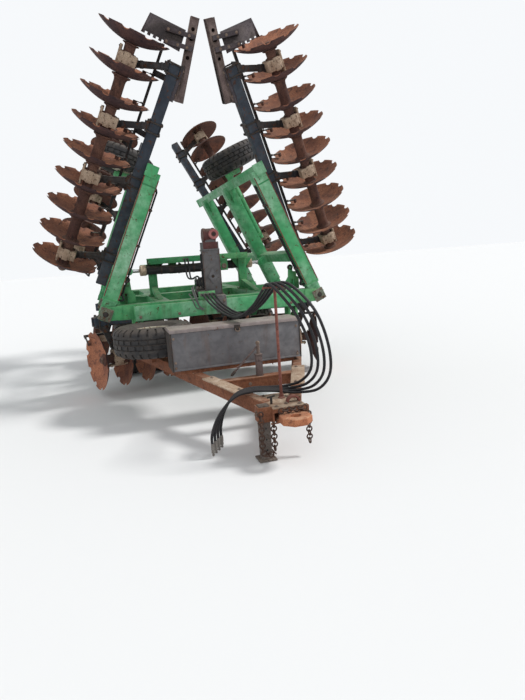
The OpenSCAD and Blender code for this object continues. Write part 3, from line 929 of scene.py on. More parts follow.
class HARROW_OT_gangs(bpy.types.Operator):
    """Build the eight gangs of dished discs, spools, sleeves and end nuts"""

    bl_idname = "harrow.gangs"
    bl_label = "Disc gangs"

    def execute(self, context):
        for kind, count, dish in GANGS:
            seats = {int(b) for b in bearing_at(count)}
            spool = between_discs([(25, 3), (88, 3), (88, 13), (82, 19), (66, 27), (57, 42), (54, 62)], 28)
            sleeve = between_discs([(25, 3), (76, 3), (76, 12), (52, 22), (50, 70)], 24)
            parts = [
                per_gap(disc_mesh(dish, dish > 0), range(count)),
                per_gap(spool, [i for i in range(count - 1) if i not in seats]),
                per_gap(sleeve, seats),
            ]
            end = (count - 1) * DISC_GAP
            washer = ((5, 3), (70, 3), (70, 16), (62, 24), (48, 31), (5, 31))
            for way, x in ((-1, 0), (1, end)):
                parts += [
                    turned([(radius, x + way * along) for radius, along in washer], "spool", 28),
                    rod((x + way * 28, 0, 0), (x + way * 52, 0, 0), 39, "bolt", 6, 4),
                    rod((x + way * 30, 0, 0), (x + way * 60, 0, 0), 23.5, "spool", 20, 2),
                ]
            parts.append(block(-20, end + 20, -19, 19, -19, 19, "spool", 3))
            for s, letter, piece in for_both_sides(join(parts)):
                node = "gang_" + kind + letter
                fit(node + "_discs", [piece], node, gang_place(kind, s), (node,), 30)
        return {"FINISHED"}


def standard_parts(dish):
    """One leaning standard with its clamp on the beam, U-bolts and bearing housing."""
    front, back = BEAM_Y
    top = BEAM_H + BEAM
    lean = -dish * LEAN
    foot = 95
    reach = math.hypot(lean, BEAM_H - foot)
    tilt = shift(0, 0, foot) @ turn("Y", math.degrees(math.atan2(lean, BEAM_H - foot)))
    arm = [
        pair(21, 31, -66, -24, -12, reach + 8, "arm", 3),
        block(-23, 23, -62, -50, -6, reach, "arm", 2),
        block(-23, 23, -40, -28, -6, reach, "arm", 2),
        block(-35, 35, -70, -20, 28, 62, "arm", 4),
        block(-35, 35, -70, -20, reach - 72, reach - 44, "arm", 4),
        bolts((-18, 18), (-70,), (45, reach - 58), (0, -1, 0), 9),
    ]
    clamp = [
        block(-66, 66, front - 6, back + 6, BEAM_H - 12, BEAM_H + 1, "arm", 3),
        block(-66, 66, front - 6, back + 6, top - 1, top + 11, "arm", 3),
        block(-40, 40, -69, -21, BEAM_H - 46, BEAM_H - 8, "arm", 4),
    ]
    for x in (-48, 48):
        for y in (front - 9, back + 9):
            clamp.append(rod((x, y, BEAM_H - 22), (x, y, top + 22), 8, "stand", 10))
            clamp.append(rod((x, y, top + 8), (x, y, top + 19), 14, "stand", 6, 1.5))
        clamp.append(rod((x, front - 9, BEAM_H - 20), (x, back + 9, BEAM_H - 20), 8, "stand", 10))
    # Housing with its clamping lugs, grease cap and flange
    return [
        all_moved(arm, tilt),
        all_moved(clamp, shift(lean, 0, 0)),
        block(-54, 54, -65, 65, 48, 95, "housing", 10, 3),
        block(-54, 54, -65, 65, -66, -48, "housing", 8, 3),
        block(-61, 61, -83, -57, -29, 29, "housing", 7, 3),
        block(-61, 61, 57, 83, -29, 29, "housing", 7, 3),
        block(-40, 40, -74, -16, 88, 104, "arm", 4),
        block(-104, 104, -50, 50, -84, -64, "housing", 8, 3),
        block(-104, 104, -12, 12, -90, -80, "housing", 4),
        turned([(57.5, -52), (80, -52), (86, -46), (86, 46), (80, 52), (57.5, 52)], "housing", 20),
        turned([(56, -60), (70, -60), (72, -50), (56, -50)], "spool", 20),
        turned([(56, 50), (72, 50), (70, 60), (56, 60)], "spool", 20),
        rod((0, 66, 60), (0, 78, 66), 6, "bolt", 8, 2),
        bolts((-84, 84), (-32, 32), (-84,), (0, 0, -1), 10, "spool"),
        bolts((-34, 34), (-70, 70), (29,), (0, 0, 1), 11),
        bolts((-34, 34), (-70, 70), (-29,), (0, 0, -1), 11),
    ]


def scraper_parts(count, dish):
    """The scraper rail with its brackets, arms and blades."""
    end = (count - 1) * DISC_GAP
    x1, x2 = (-128, end + 60) if dish > 0 else (-60, end + 128)
    arm = join([
        block(-118, -110, 232, 366, -16, 16, "arm", 2),
        block(-118, -80, 233, 257, -19, 19, "spool", 4),
        block(-124, -108, 330, 364, -19, 19, "arm", 2),
        bolt((-110, 347, 0), (1, 0, 0), 8),
    ])
    moved(arm, (Matrix() if dish > 0 else MIRROR_X) @ turn("X", 133.9))
    slope = math.degrees(math.atan2(262 - 385, -252 + 120))
    plates = [block(-29, 29, 0, 180, -7, 7, "arm", 2), block(-5, 5, 20, 160, -26, -6, "arm", 2)]
    bracket = join(all_moved(plates, shift(0, -120, 385) @ turn("X", slope)))
    return [
        block(x1, x2, -264, -236, 246, 274, "arm", 3),
        per_gap(arm, range(count)),
        per_gap(bracket, bearing_at(count)),
    ]


def hollow_tube(x1, x2, y1, y2, z1, z2, finish):
    """A square tube along X with open ends."""
    wall, depth = 9, 60
    piece = block(x1, x2, y1, y2, z1, z2, finish, 10, 3)
    activate(piece)
    mode("EDIT")
    select("DESELECT")
    mode("OBJECT")
    for face in piece.data.polygons:
        face.select = abs(face.normal.x) > 0.9
    mode("EDIT")
    bpy.ops.mesh.inset(thickness=wall * MM * 0.5, depth=0)
    bpy.ops.mesh.inset(thickness=wall * MM * 0.2, depth=-depth * MM)
    mode("OBJECT")
    return piece


class HARROW_OT_gang_beams(bpy.types.Operator):
    """Build the gang beams with their standards, bearing housings and scrapers"""

    bl_idname = "harrow.gang_beams"
    bl_label = "Gang beams"

    def execute(self, context):
        for kind, count, dish in GANGS:
            x1, extra = BEAM_ENDS[kind]
            x2 = (count - 1) * DISC_GAP + extra
            model = join([
                hollow_tube(x1, x2, *BEAM_Y, BEAM_H, BEAM_H + BEAM, "beam"),
                per_gap(join(standard_parts(dish)), bearing_at(count)),
                scraper_parts(count, dish),
            ])
            for s, letter, piece in for_both_sides(model):
                node = "beam_" + kind + letter
                fit(node + "_standards", [piece], body_of_node(node), gang_place(kind, s), (node,))
        return {"FINISHED"}


# Wheels


def mirrored(line):
    return [(radius, -along) for radius, along in reversed(line)]


def tyre_mesh():
    """An implement tyre about X with ribs, shoulder lugs and sidewall rings."""
    h, r, rim = TYRE_HALF, TYRE_R, RIM_R
    side_line = [
        (rim, -h + 45), (rim + 12, -h + 33), (rim + 30, -h + 22), (rim + 40, -h + 13), (rim + 46, -h + 13),
        (r - 118, -h + 1), (r - 108, -h), (r - 100, -h + 3), (r - 60, -h + 4), (r - 50, -h + 5),
        (r - 30, -h + 17), (r - 14, -h + 26), (r - 6, -h + 40),
    ]
    tread = []
    for x1, x2 in ((-h + 60, -54), (-42, -8), (8, 42), (54, h - 60)):
        tread += [(r, x1), (r, x2)]
        if x2 < h - 60:
            tread += [(r - 11, x2 + 2), (r - 11, x2 + 10)]
    steps = sizes().tread_steps
    piece = turned(side_line + tread + mirrored(side_line), "tyre", steps)

    def sink(chosen, depth):
        activate(piece)
        mode("EDIT")
        select("DESELECT")
        mode("OBJECT")
        for face in piece.data.polygons:
            c = face.center
            step = int((math.atan2(c.z, c.y) / math.tau + 1) * steps + 0.001)
            face.select = chosen(math.hypot(c.y, c.z) / MM, c.x / MM, step)
        mode("EDIT")
        bpy.ops.mesh.select_mode(type="FACE")
        bpy.ops.mesh.extrude_region_shrink_fatten(TRANSFORM_OT_shrink_fatten={"value": -depth * MM})
        mode("OBJECT")

    # Deep slots between the shoulder lugs, then narrow sipes across the ribs
    sink(lambda radius, x, step: step % 4 < 1 and r - 62 < radius < r - 1.5 and abs(x) > h - 62, 13)
    for way, lag in ((-1, 0), (1, 2)):
        sink(lambda radius, x, step: (step + lag) % 4 == 0 and radius > r - 1.5 and 8 < x * way < 42, 8)
    return piece


def rim_parts(x1, x2):
    """A drop-centre rim with its disc, hand holes, hub and wheel bolts."""
    r = RIM_R
    well = [
        (r - 14, -95), (r - 1, -99), (r + 8, -97), (r + 8, -90), (r - 1, -88), (r - 1, -60),
        (r - 12, -40), (r - 12, 30), (r - 1, 60), (r - 1, 88), (r + 8, 90), (r + 8, 97),
        (r - 1, 99), (r - 14, 95), (r - 14, 62), (r - 20, 34), (r - 20, -40), (r - 14, -60),
    ]
    web = [
        (40, -4), (95, -4), (128, -24), (r - 22, -22), (r - 14, -10),
        (r - 14, 0), (r - 24, -12), (128, -14), (98, 6), (40, 6),
    ]
    hub = [(5, x1), (54, x1), (66, x1 + 8), (68, x1 + 20), (68, x2 - 20), (66, x2 - 8), (54, x2), (5, x2)]
    holes = copies(rod((-80, 0, 138), (80, 0, 138), 17, "rim", 14), [turn("X", a) for a in range(0, 360, 60)])
    parts = [turned(well, "rim", 40), cut(turned(web, "rim", 40), join(holes)), turned(hub, "rim", 28)]
    way = -1 if abs(x1) > abs(x2) else 1
    for a in range(30, 360, 60):
        parts += all_moved(bolt((6 * -way, 0, 82), (-way, 0, 0), 11), turn("X", a))
    return parts


class HARROW_OT_wheels(bpy.types.Operator):
    """Build the tyres and rims: twin centre wheels, wing wheels and the spare"""

    bl_idname = "harrow.wheels"
    bl_label = "Wheels"

    def execute(self, context):
        def fit_wheel(kind, parts, tail, letter, body, place):
            fit(kind + letter + tail, parts, body + letter, place, (kind + letter,))

        tyre = tyre_mesh()
        axle_ends = [(x, AXLE_Y, TYRE_R) for x in TWIN_X]
        twin = [shift(*end) for end in axle_ends]
        for s, letter in SIDES:
            pair = copies(twin_of(tyre), twin)
            fit_wheel("centre_tyres_", pair, "_tread", letter, "centre_wheels_", side(s))
            inner = moved(join(rim_parts(-40, 145)), twin[0])
            outer = moved(join(rim_parts(-40, 145)), twin[1] @ MIRROR_X)
            pair = [inner, outer, rod(*axle_ends, 27, "rim", 20)]
            fit_wheel("centre_rims_", pair, "_steel", letter, "centre_wheels_", side(s))
            place = wing(s) @ shift(*WING_WHEEL)
            fit_wheel("wing_tyre_", [twin_of(tyre)], "_tread", letter, "wing_wheel_", place)
            fit_wheel("wing_rim_", rim_parts(-120, 40), "_steel", letter, "wing_wheel_", place)
        spare = shift(0, Y0, 0) @ shift(*SPARE) @ turn("Y", 90)
        fit("spare_tyre_tread", [tyre], "frame", spare, ("spare_tyre",))
        fit("spare_rim_steel", rim_parts(-50, 30), "frame", spare, ("spare_rim",))
        return {"FINISHED"}


# Frames


class HARROW_OT_frames(bpy.types.Operator):
    """Round and paint the centre frame, bridge, wing frames, shafts and arms"""

    bl_idname = "harrow.frames"
    bl_label = "Frames"

    def execute(self, context):
        for node, finish in (
            ("main_frame", "green"),
            ("bridge", "green"),
            # The wing frames take the paler copy, part painted light
            ("wing_frame_l", "mint"),
            ("wing_frame_r", "mint"),
            ("wing_arm_l", "green"),
            ("wing_arm_r", "green"),
            # The rockshaft takes the darker copy, painted shade
            ("rockshaft", "deep_green"),
        ):
            fit_node(node, "_paint", dressed(node, finish, sizes().plate_edge))
        return {"FINISHED"}


class HARROW_OT_cylinders(bpy.types.Operator):
    """Round and paint the hydraulic cylinders and their rods"""

    bl_idname = "harrow.cylinders"
    bl_label = "Hydraulic cylinders"

    def execute(self, context):
        for finish, nodes in (
            ("black", ("fold_barrel_l", "fold_barrel_r", "lift_barrel")),
            ("rod", ("fold_rod_l", "fold_rod_r", "lift_rod")),
        ):
            for node in nodes:
                fit_node(node, "_steel", dressed(node, finish, 2.5))
        return {"FINISHED"}


class HARROW_OT_tongue(bpy.types.Operator):
    """Round and finish the tongue, its eye, stand, jack, hose rod and chains"""

    bl_idname = "harrow.tongue"
    bl_label = "Tongue and front fittings"

    def execute(self, context):
        for node, finish, width, slot in (
            ("tongue", "tongue", 3, "brown"),
            ("hitch_eye", "eye", 6, "eye"),
            ("mast", "mast", 5, "grey"),
            ("tool_box", "grey", 3, "grey"),
            ("parking_stand", "leg", 3, "dark"),
            ("screw_jack", "bar", 1.5, "brown"),
            ("hose_stand", "hose_rod", 1, "brown"),
            ("chains", "chain", 0, "chain"),
            ("extension_l", "bar", 2.5, "brown"),
            ("extension_r", "bar", 2.5, "brown"),
        ):
            piece = dressed(node, finish, width)
            if node == "mast":
                second_finish(piece, "maroon", lambda c: c.z > 1606)
            if node.startswith("extension"):
                s = -1 if node.endswith("l") else 1
                second_finish(piece, "slate", lambda c: c.y > 38.5 and c.z < -42, extension_place(s))
            fit_node(node, "_steel", piece)
        return {"FINISHED"}


class HARROW_OT_hinges(bpy.types.Operator):
    """Add the hinge plates, worn edge strips, caps and clamped pipes of the frames"""

    bl_idname = "harrow.hinges"
    bl_label = "Hinges and wing trim"

    def execute(self, context):
        for s, letter in SIDES:
            plates = []
            for y, way in ((0, -1), (MID_Y, -1), (REAR_Y, 1)):
                face = y + way * 98
                out = (0, way, 0)
                front = face + way * 7
                ring = [
                    (28, face), (50, face), (50, face + way * 13), (44, face + way * 17),
                    (28, face + way * 17)
                ]
                plates += [
                    block(-66, 66, face - 7, face + 7, -66, 66, "hinge", 5),
                    turned(ring, "hinge", 28, "Y"),
                    bolt((0, face + way * 8, 0), out, 24, "stand"),
                    bolts((-48, 48), (front,), (-48, 48), out, 8),
                ]
            plates = all_moved(plates, shift(HINGE_X, 0, FRAME_Z) @ turn("Y", -FOLD))
            fit("hinge_plates_" + letter, plates, "frame", side(s))
            trim = []
            end = WING_LEN
            for y in (-75, REAR_Y + 75):
                for z in (-72, 72):
                    trim.append(block(170, end - 60, y - 4, y + 4, z - 5, z + 5, "hose_rod", 2))
                trim.append(block(150, 166, y - 5, y + 5, -78, 78, "green", 3))
                # Cross plates in the darker copy, painted shade
                trim.append(block(end - 150, end - 134, y - 4, y + 4, -76, 76, "deep_green", 3))
            # End caps in the paler copy, part painted light
            for y in (-85, REAR_Y + 520):
                trim.append(block(end - 62, end + 62, y - 5, y + 5, -82, 42, "mint", 4))
            # Gussets between the tubes and the outer rail
            for y, way in ((0, 1), (MID_Y, -1), (MID_Y, 1), (REAR_Y, -1), (REAR_Y, 1)):
                plate = slab([(0, 0), (-150, 0), (-150, 20), (-20, 150), (0, 150)], 10, "green")
                flip = Matrix.Scale(way, 4, (0, 1, 0))
                trim.append(moved(plate, shift(end - 54, y + way * 74, 30) @ flip @ turn("X", -90)))
            # Pipes along the inner side, with clamps
            for y in (-44, -18):
                run = [(230, y, 78), (262, y, 92), (300, y, 93), (800, y, 93), (1280, y, 93)]
                run += [(1330, y + 8, 92), (1365, y + 40, 80)]
                branch = [(235, y, 92), (205, y, 120), (182, y + 6, 112), (176, y + 10, 74)]
                trim += [pipe(run, 9, "hose"), pipe(branch, 9, "hose")]
            for u in (380, 760, 1140):
                trim += [
                    block(u - 14, u + 14, -62, 0, 76, 81, "stand", 2),
                    block(u - 11, u + 11, -58, -4, 98, 106, "stand", 3),
                    block(u - 11, u + 11, -63, -57, 78, 104, "stand", 1.5),
                    block(u - 11, u + 11, -5, 1, 78, 104, "stand", 1.5),
                    bolt((u, -31, 104), (0, 0, 1), 8),
                ]
            fit("wing_trim_" + letter, trim, "wing_" + letter, wing(s))
        return {"FINISHED"}


class HARROW_OT_centre_trim(bpy.types.Operator):
    """Add the front box, stepped brackets, gussets and valve pipes of the centre frame"""

    bl_idname = "harrow.centre_trim"
    bl_label = "Centre frame trim"

    def execute(self, context):
        top, low = FRAME_Z + TUBE / 2, FRAME_Z - TUBE / 2
        parts = [
            # Front plate in the paler copy, part painted light
            block(-880, 880, -101, -76, low - 26, top - 20, "mint", 7, 3),
            pair(872, 884, -103, -60, low - 30, top - 16, "green", 3),
            block(-870, 870, -76, 60, low - 20, low - 2, "green", 4),
            bolts((-820, -420, 420, 820), (-102,), (FRAME_Z - 60,), (0, -1, 0), 12),
        ]
        bracket = [
            (-1000, 1040), (-1000, 1170), (-972, 1182), (-972, 1236), (-930, 1240), (-926, 1300),
            (-904, 1322), (-880, 1300), (-872, 1180), (-838, 1130), (-838, 1040),
        ]
        for flip in (Matrix(), MIRROR_X):
            group = [
                moved(slab(bracket, 16, "green", 3), shift(0, 96, 0)),
                # Bracket block in the darker copy, painted shade
                block(-925, -910, 40, 100, 1040, 1150, "deep_green", 3),
                turned([(14, -4), (30, -4), (30, 24), (14, 24)], "stand", 20, "Y", (-903, 96, 1285)),
            ]
            for y in (MID_Y, REAR_Y):
                gusset = slab([(0, 0), (150, 0), (150, 22), (22, 150), (0, 150)], 10, "green")
                place = shift(RAIL_X + 75, y - 76, FRAME_Z + 60) @ turn("X", 90)
                group.append(moved(gusset, MIRROR_X @ place))
            parts += all_moved(group, flip)
        fit_frame("centre_trim", parts)

        # Valve block behind the bulkhead, with hoses to the cylinders
        parts = [
            block(-190, -30, 96, 176, top + 2, top + 92, "stand", 5),
            block(-182, -38, 90, 182, top + 60, top + 72, "coupler", 3),
        ]
        pitch = 40
        front_nut = [(5, 0), (15, 0), (15, 16), (11, 20), (11, 44), (5, 44)]
        top_nut = [(4, 0), (13, 0), (13, 12), (9, 16), (9, 30), (4, 30)]
        far_nut = [(4, 0), (14, 0), (14, -14), (11, -18), (11, -34), (4, -34)]
        # Each hose goes from its valve, at x, back and up to its end, at far
        for k, far in enumerate((-150, -190, 190, 150)):
            x = -170 + pitch * k
            gap = far - x
            route = [
                (x, 136, 1155), (x, 140, 1205 + 14 * k), (x + 0.2 * gap, 230, 1250 + 10 * k),
                (x + 0.5 * gap, 430, 1230), (x + 0.85 * gap, 620, 1235), (far, 690, 1310),
                (far, 712, 1410), (far, 735, 1452), (far, 762, 1455),
            ]
            parts += [
                turned(front_nut, "coupler", 6, "Y", (x, -66, 1075)),
                pipe([(x, -24, 1075), (x, 10, 1078), (x + 4, 50, 1090), (x + 2, 92, 1094)], 9.5, "hose"),
                turned(top_nut, "coupler", 6, "Z", (x, 136, top + 90)),
                pipe(route, 9.5, "hose", 7),
                turned(far_nut, "coupler", 6, "Y", (far, 780, 1455)),
            ]
        for k, (x, z) in enumerate(((-230, 1120), (-262, 1080), (-214, 1160))):
            route = [
                (x + 40, 90, top + 20), (x, 40, z), (x - 30, -40, z + 30 - 20 * k),
                (x - 10, -96, 1040), (x + 20, -104, 970 - 20 * k), (x + 60, -100, 930),
            ]
            parts.append(pipe(route, 6.5, "hose_grey"))
        for way in (-1, 1):
            route = ((90, 190, 1110), (130, 260, 1180), (110, 330, 1235), (40, 360, 1225), (12, 345, 1208))
            parts.append(pipe([(way * x, y, z) for x, y, z in route], 8, "hose"))
        fit_frame("valve_hoses", parts)
        return {"FINISHED"}


class HARROW_OT_cylinder_trim(bpy.types.Operator):
    """Add the glands, ports, pipes and pin heads of the cylinders"""

    bl_idname = "harrow.cylinder_trim"
    bl_label = "Cylinder trim"

    def execute(self, context):
        for s, letter in SIDES:
            place, length = cylinder_place(s)
            end = length - 130
            gland = [
                (22, end + 4), (54, end + 4), (62, end - 4), (62, end - 62),
                (57, end - 70), (53, end - 74), (22, end - 74),
            ]
            oil_pipe = [
                (93, 0, 60), (93, 0, 84), (104, 0, 95), (130, 0, 98), (400, 0, 90),
                (end - 170, 0, 86), (end - 120, 0, 112), (end - 98, 0, 108), (end - 100, 0, 60),
            ]
            parts = [
                turned(gland, "housing", 30),
                turned([(40, 66), (56, 66), (56, 86), (40, 86)], "black", 28),
                block(74, 112, -20, 20, 44, 66, "black", 4),
                block(end - 118, end - 84, -18, 18, 46, 66, "black", 4),
                pipe(oil_pipe, 6, "black", 8),
                pipe([(93, 12, 60), (80, 14, 92), (50, 14, 104), (20, 14, 96)], 9, "hose"),
                turned([(20, -50), (33, -50), (33, -30), (20, -30)], "bolt", 20, "Y"),
                turned([(20, 30), (33, 30), (33, 50), (20, 50)], "bolt", 20, "Y"),
            ]
            for x in (360, end - 260):
                parts.append(turned([(50.5, x), (54.5, x), (54.5, x + 22), (50.5, x + 22)], "stand", 28))
                parts.append(block(x + 2, x + 20, -12, 12, 50, 94, "stand", 3))
            fit("fold_barrel_%s_trim" % letter, parts, "fold_barrel_" + letter, place)
        gland = [(23.5, 762), (57, 762), (62, 770), (62, 822), (57, 832), (23.5, 832)]
        oil_pipe = [(350, 48), (350, 72), (370, 80), (520, 80), (700, 80), (728, 74), (730, 48)]
        parts = [
            turned(gland, "housing", 28, "Y"),
            pipe([(0, y, z) for y, z in oil_pipe], 6, "black", 8),
            block(-17, 17, 334, 366, 44, 60, "black", 4),
            block(-17, 17, 712, 746, 44, 60, "black", 4),
        ]
        fit_frame("lift_barrel_trim", parts, 1150)
        parts = []
        pin = [(3, 0), (30, 0), (30, 6), (24, 12), (3, 12)]
        for way in (-1, 1):
            for half_turn in (0, 180):
                place = shift(-way * CYL_X, CYL_Y[way], CYL_Z) @ turn("Z", half_turn) @ shift(0, 50, 0)
                parts.append(moved(turned(pin, "bolt", 24, "Y"), place))
            x = way * RAIL_X
            for flip in (Matrix(), MIRROR_X):
                gusset = slab([(0, 0), (90, 0), (0, -120)], 10, "green")
                parts.append(moved(gusset, shift(x, 0, 0) @ flip @ shift(49, 940, 1421)))
            foot = FRAME_Z + TUBE / 2
            parts.append(block(x - 72, x + 72, 893, 997, foot, foot + 12, "green", 3))
            parts.append(bolts((x - 60, x + 60), (905, 985), (foot + 12,), (0, 0, 1), 10))
        fit_frame("bridge_trim", parts)
        return {"FINISHED"}


class HARROW_OT_front_trim(bpy.types.Operator):
    """Add the box lid, mast head, jack screw and the fittings of the tongue"""

    bl_idname = "harrow.front_trim"
    bl_label = "Box, mast and tongue trim"

    def execute(self, context):
        self.box_trim()
        self.mast_trim()
        self.tongue_trim()
        self.jack_and_stand_trim()
        self.extension_trim()
        return {"FINISHED"}

    def box_trim(self):
        """Lid, corner edges, hinges and hasp of the tool box."""
        y1, y2 = BOX_Y - 140, BOX_Y + 140
        floor, rim, lid = 512, 846, 876
        parts = [
            block(-668, 508, y1 - 9, y2 + 9, lid - 10, lid, "lid", 3),
            block(-668, 508, y1 - 11, y1 - 6, rim, lid - 2, "lid", 2),
            block(-668, -661, y1 - 9, y2 + 9, rim, lid - 4, "lid", 2),
            block(501, 508, y1 - 9, y2 + 9, rim, lid - 4, "lid", 2),
            block(-671, -657, y1 - 5, y2 + 5, floor, rim, "stand", 3),
            block(497, 509, y1 - 5, y2 + 5, floor, rim, "stand", 3),
            block(-656, 500, y1 - 4, y1 + 4, floor + 4, floor + 20, "grey", 2),
        ]
        for x in (-470, 300):
            parts.append(block(x - 38, x + 38, y2 + 4, y2 + 16, lid - 20, lid + 4, "stand", 3))
            parts.append(rod((x - 44, y2 + 15, lid - 2), (x + 44, y2 + 15, lid - 2), 7, "bolt", 12, 2))
        hasp = [(-96, -14, 838), (-96, -24, 822), (-78, -27, 812), (-60, -24, 822), (-60, -14, 838)]
        parts.append(block(-106, -50, y1 - 15, y1 - 4, 820, 868, "stand", 3))
        parts.append(pipe([(x, y1 + y, z) for x, y, z in hasp], 4, "bolt"))
        for x, z in ((-640, 545), (-640, 590), (-640, 800), (470, 545), (470, 800)):
            parts += bolt((x, y1 - 1, z), (0, -1, 0), 9)
        fit_frame("box_trim", parts)

    def mast_trim(self):
        """Head, ring, lozenge, strips and plates of the mast."""
        foot, cap = FRAME_Z + TUBE / 2, 1546
        drum = (0, 135, 1690)
        ring = [(28, -12), (50, -12), (54, -8), (54, 6), (50, 12), (28, 12)]
        lozenge = slab([(-54, 0), (0, 84), (54, 0), (0, -84)], 12, "grey", 2.5)
        parts = [
            block(-97, 97, 68, 202, cap - 18, cap, "mast", 4),
            block(-82, 82, 70, 200, cap, 1622, "maroon", 12),
            pair(38, 64, 78, 192, 1600, 1700, "maroon", 6),
            turned([(8, -68), (74, -68), (80, -60), (80, -40), (74, -36), (8, -36)], "maroon", 32, "X", drum),
            turned([(8, 36), (74, 36), (80, 40), (80, 60), (74, 68), (8, 68)], "maroon", 32, "X", drum),
            turned(ring, "pink", 32, "Y", (40, 50, 1700)),
            turned([(3, -8), (29, -8), (29, 14), (3, 14)], "maroon", 24, "Y", (40, 50, 1700)),
            bolt((40, 42, 1700), (0, -1, 0), 12, "stand"),
            moved(lozenge, shift(0, 64, 1255)),
            bolt((0, 64, 1255), (0, -1, 0), 13, "stand"),
            block(-112, 112, 58, 212, foot, foot + 17, "mast", 4),
            bolts((-98, 98), (78, 192), (foot + 17,), (0, 0, 1), 11),
            pair(87, 95, 70, 80, foot + 17, cap - 18, "bar", 1.5),
        ]
        for y in (110, 160):
            run = [(-98, y, 1060), (-104, y, 1100), (-100, y, 1180)]
            run += [(-99, y + 6, 1330), (-100, y + 10, 1450), (-96, y + 14, 1500)]
            parts.append(pipe(run, 6, "hose"))
        for z in (1150, 1330):
            parts.append(block(-106, -88, 96, 190, z - 8, z + 8, "stand", 2))
        # Foot plate down the face of the front beam
        parts += [
            block(-24, 90, -117, -102, 874, 1046, "mast", 4),
            block(-24, 90, -117, 66, 1040, 1056, "mast", 4),
            bolts((64,), (-117,), (910, 1000), (0, -1, 0), 12),
        ]
        fit_frame("mast_trim", parts)

    def tongue_trim(self):
        """Plates, caps and bolts along the legs of the tongue and on its head."""
        parts = []
        for s in (-1, 1):
            a, b = Vector((s * 850, -160, 581)), Vector((s * 95, -2100, EYE_Z + 54))
            way = (b - a).normalized()
            across = Vector((0, 0, 1)).cross(way).normalized()
            leg = Matrix((way, across, way.cross(across))).transposed().to_4x4()
            leg.translation = a * MM
            strips = [
                block(60, 300, -27, 27, -1, 9, "tongue", 3),
                block(1270, 1750, -74 if s < 0 else -40, 40 if s < 0 else 74, -2, 10, "worn", 3),
                block(1780, 2040, -38, 38, -2, 7, "tongue", 2),
                block(560, 620, -34, 34, -104, 6, "tongue", 3),
                block(1080, 1130, -34, 34, -104, 6, "tongue", 3),
                bolts((100, 260, 1310, 1700), (0,), (9,), (0, 0, 1), 12),
            ]
            parts += all_moved(strips, leg)
            for half_turn in (180, 0):
                pin = turned([(3, 0), (34, 0), (34, 8), (28, 14), (3, 14)], "bolt", 6, "X", (76, 0, 0))
                parts.append(moved(pin, shift(s * 850, 0, FRAME_Z - 410) @ turn("Z", half_turn)))
        top, up = HEAD_TOP, (0, 0, 1)
        parts += [
            block(-122, 122, -2246, -1856, top - 1, top + 7, "worn", 3),
            block(-126, -114, -2244, -1900, EYE_Z - 52, top + 4, "tongue", 3),
            block(114, 126, -2186, -1900, EYE_Z - 52, top + 4, "tongue", 3),
            pair(60, 70, -2250, -2150, EYE_Z - 26, EYE_Z + 26, "tongue", 2),
            bolts((-88, 88), (-2215, -1900), (top + 7,), up, 13),
            bolt((0, -2175, top + 7), up, 13),
        ]
        # Half-round strap on the right and a T-handled pin on the left
        for y in (-2160, -2146, -2132):
            angles = [math.pi * k / 8 for k in range(9)]
            arc = [(62 + 46 * math.cos(a), y, top + 4 + 46 * math.sin(a)) for a in angles]
            parts.append(pipe(arc, 8, "hose_rod", 3))
        parts += [
            rod((-98, -2130, top), (-98, -2130, top + 62), 9, "stand", 14, 2),
            rod((-128, -2130, top + 58), (-68, -2130, top + 66), 7, "stand", 12, 2),
            rod((-116, -2190, 345), (-246, -2190, 350), 8, "bolt", 12, 2),
            turned([(9, -232), (16, -232), (16, -220), (9, -220)], "bolt", 16, "X", (0, -2190, 349)),
            bolt((-223, -2162, 360), (-1, 0, 0), 9),
            bolt((-124, -2162, 360), (1, 0, 0), 9),
            block(-344, 344, -1504, -1406, 440, 454, "tongue", 3),
            bolts((-230, -80, 180), (-1505,), (405,), (0, -1, 0), 11),
        ]
        fit_frame("tongue_trim", parts)

    def jack_and_stand_trim(self):
        """Thread, cap and grip of the jack, holes and foot of the stand, rings of the hose rod."""
        jack = (20, -1455, 0)
        cap = [(2, 726), (17, 728), (19, 736), (14, 748), (2, 752)]
        grip = turned([(2, 0), (12, 2), (13, 30), (10, 46), (2, 50)], "stand", 16, "Z")
        parts = [
            turned([(10, z), (15, z + 2), (15, z + 5), (10, z + 7)], "bolt", 18, "Z", jack)
            for z in range(642, 728, 11)
        ]
        parts += [
            block(-9, 49, -1484, -1426, 630, 642, "bar", 3),
            turned(cap, "bolt", 18, "Z", jack),
            moved(grip, shift(-192, -1455, 514) @ turn("Y", -133)),
        ]
        fit_frame("jack_trim", parts)

        parts = []
        for z in (80, 160, 240):
            hole = (-173, -2201, z)
            parts.append(turned([(7, -2), (11, -2), (11, 1), (7, 1)], "leg", 18, "Y", hole))
            parts.append(turned([(1, -1), (7, -1), (7, 1), (1, 1)], "black", 16, "Y", hole))
        socket = [(11.5, 0), (26, 0), (26, 8), (17, 14), (17, 34), (11.5, 34)]
        knob = [(2, -7), (10, -5), (11, 0), (10, 5), (2, 7)]
        parts += [
            block(-215, -132, -2204, -2121, 10, 24, "leg", 3),
            turned(socket, "hose_rod", 20, "Z", (20, -2010, HEAD_TOP + 6)),
            turned(knob, "hose_rod", 16, "X", (-66, -2010, 1222)),
            turned(knob, "hose_rod", 16, "X", (76, -2010, 1222)),
        ]
        fit_frame("stand_trim", parts)

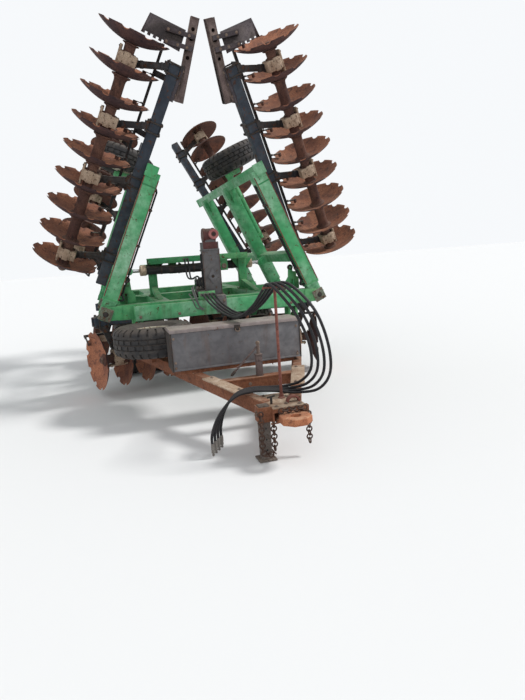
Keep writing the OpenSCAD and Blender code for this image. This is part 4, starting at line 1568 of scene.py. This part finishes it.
    def extension_trim(self):
        """Bolts and backing plates of the extension bars."""
        for s, letter in SIDES:
            place = gang_place("wf", s)
            rows = (-BEAM_OFF - 36, -BEAM_OFF + 36)
            bar = [
                bolts((-270, -170), (64,), (-24, -110, -215), (0, 1, 0), 10),
                block(-432, 300, -42, -36, -43, 43, "bar", 2),
            ]
            parts = [
                bolts((20, 130, 240), rows, (BEAM_H + BEAM + 30,), (0, 0, 1), 11),
                all_moved(bar, place.inverted() @ extension_place(s)),
            ]
            fit("extension_%s_trim" % letter, parts, "wing_" + letter, place)


# Sidebar and running order

STEPS = (
    HARROW_OT_camera,
    HARROW_OT_hoses,
    HARROW_OT_gangs,
    HARROW_OT_gang_beams,
    HARROW_OT_wheels,
    HARROW_OT_frames,
    HARROW_OT_cylinders,
    HARROW_OT_tongue,
    HARROW_OT_hinges,
    HARROW_OT_centre_trim,
    HARROW_OT_cylinder_trim,
    HARROW_OT_front_trim,
    HARROW_OT_stage,
)


class HARROW_PT_panel(bpy.types.Panel):
    """Sizes, colours and steps of the harrow"""

    bl_idname = "HARROW_PT_panel"
    bl_label = "Disc harrow"
    bl_space_type = "VIEW_3D"
    bl_region_type = "UI"
    bl_category = "Harrow"

    def draw(self, context):
        for group in (context.scene.harrow_sizes, context.scene.harrow_colours):
            for name in group.__annotations__:
                self.layout.prop(group, name)
        for step in STEPS:
            self.layout.operator(step.bl_idname)


CLASSES = (HarrowSizes, HarrowColours, *STEPS, HARROW_PT_panel)


def register():
    for cls in CLASSES:
        bpy.utils.register_class(cls)
    bpy.types.Scene.harrow_sizes = PointerProperty(type=HarrowSizes)
    bpy.types.Scene.harrow_colours = PointerProperty(type=HarrowColours)


def unregister():
    del bpy.types.Scene.harrow_colours
    del bpy.types.Scene.harrow_sizes
    for cls in reversed(CLASSES):
        bpy.utils.unregister_class(cls)


def main():
    register()
    deselect()
    make_finishes()
    for step in STEPS:
        group, name = step.bl_idname.split(".")
        getattr(getattr(bpy.ops, group), name)()


if __name__ == "__main__":
    main()
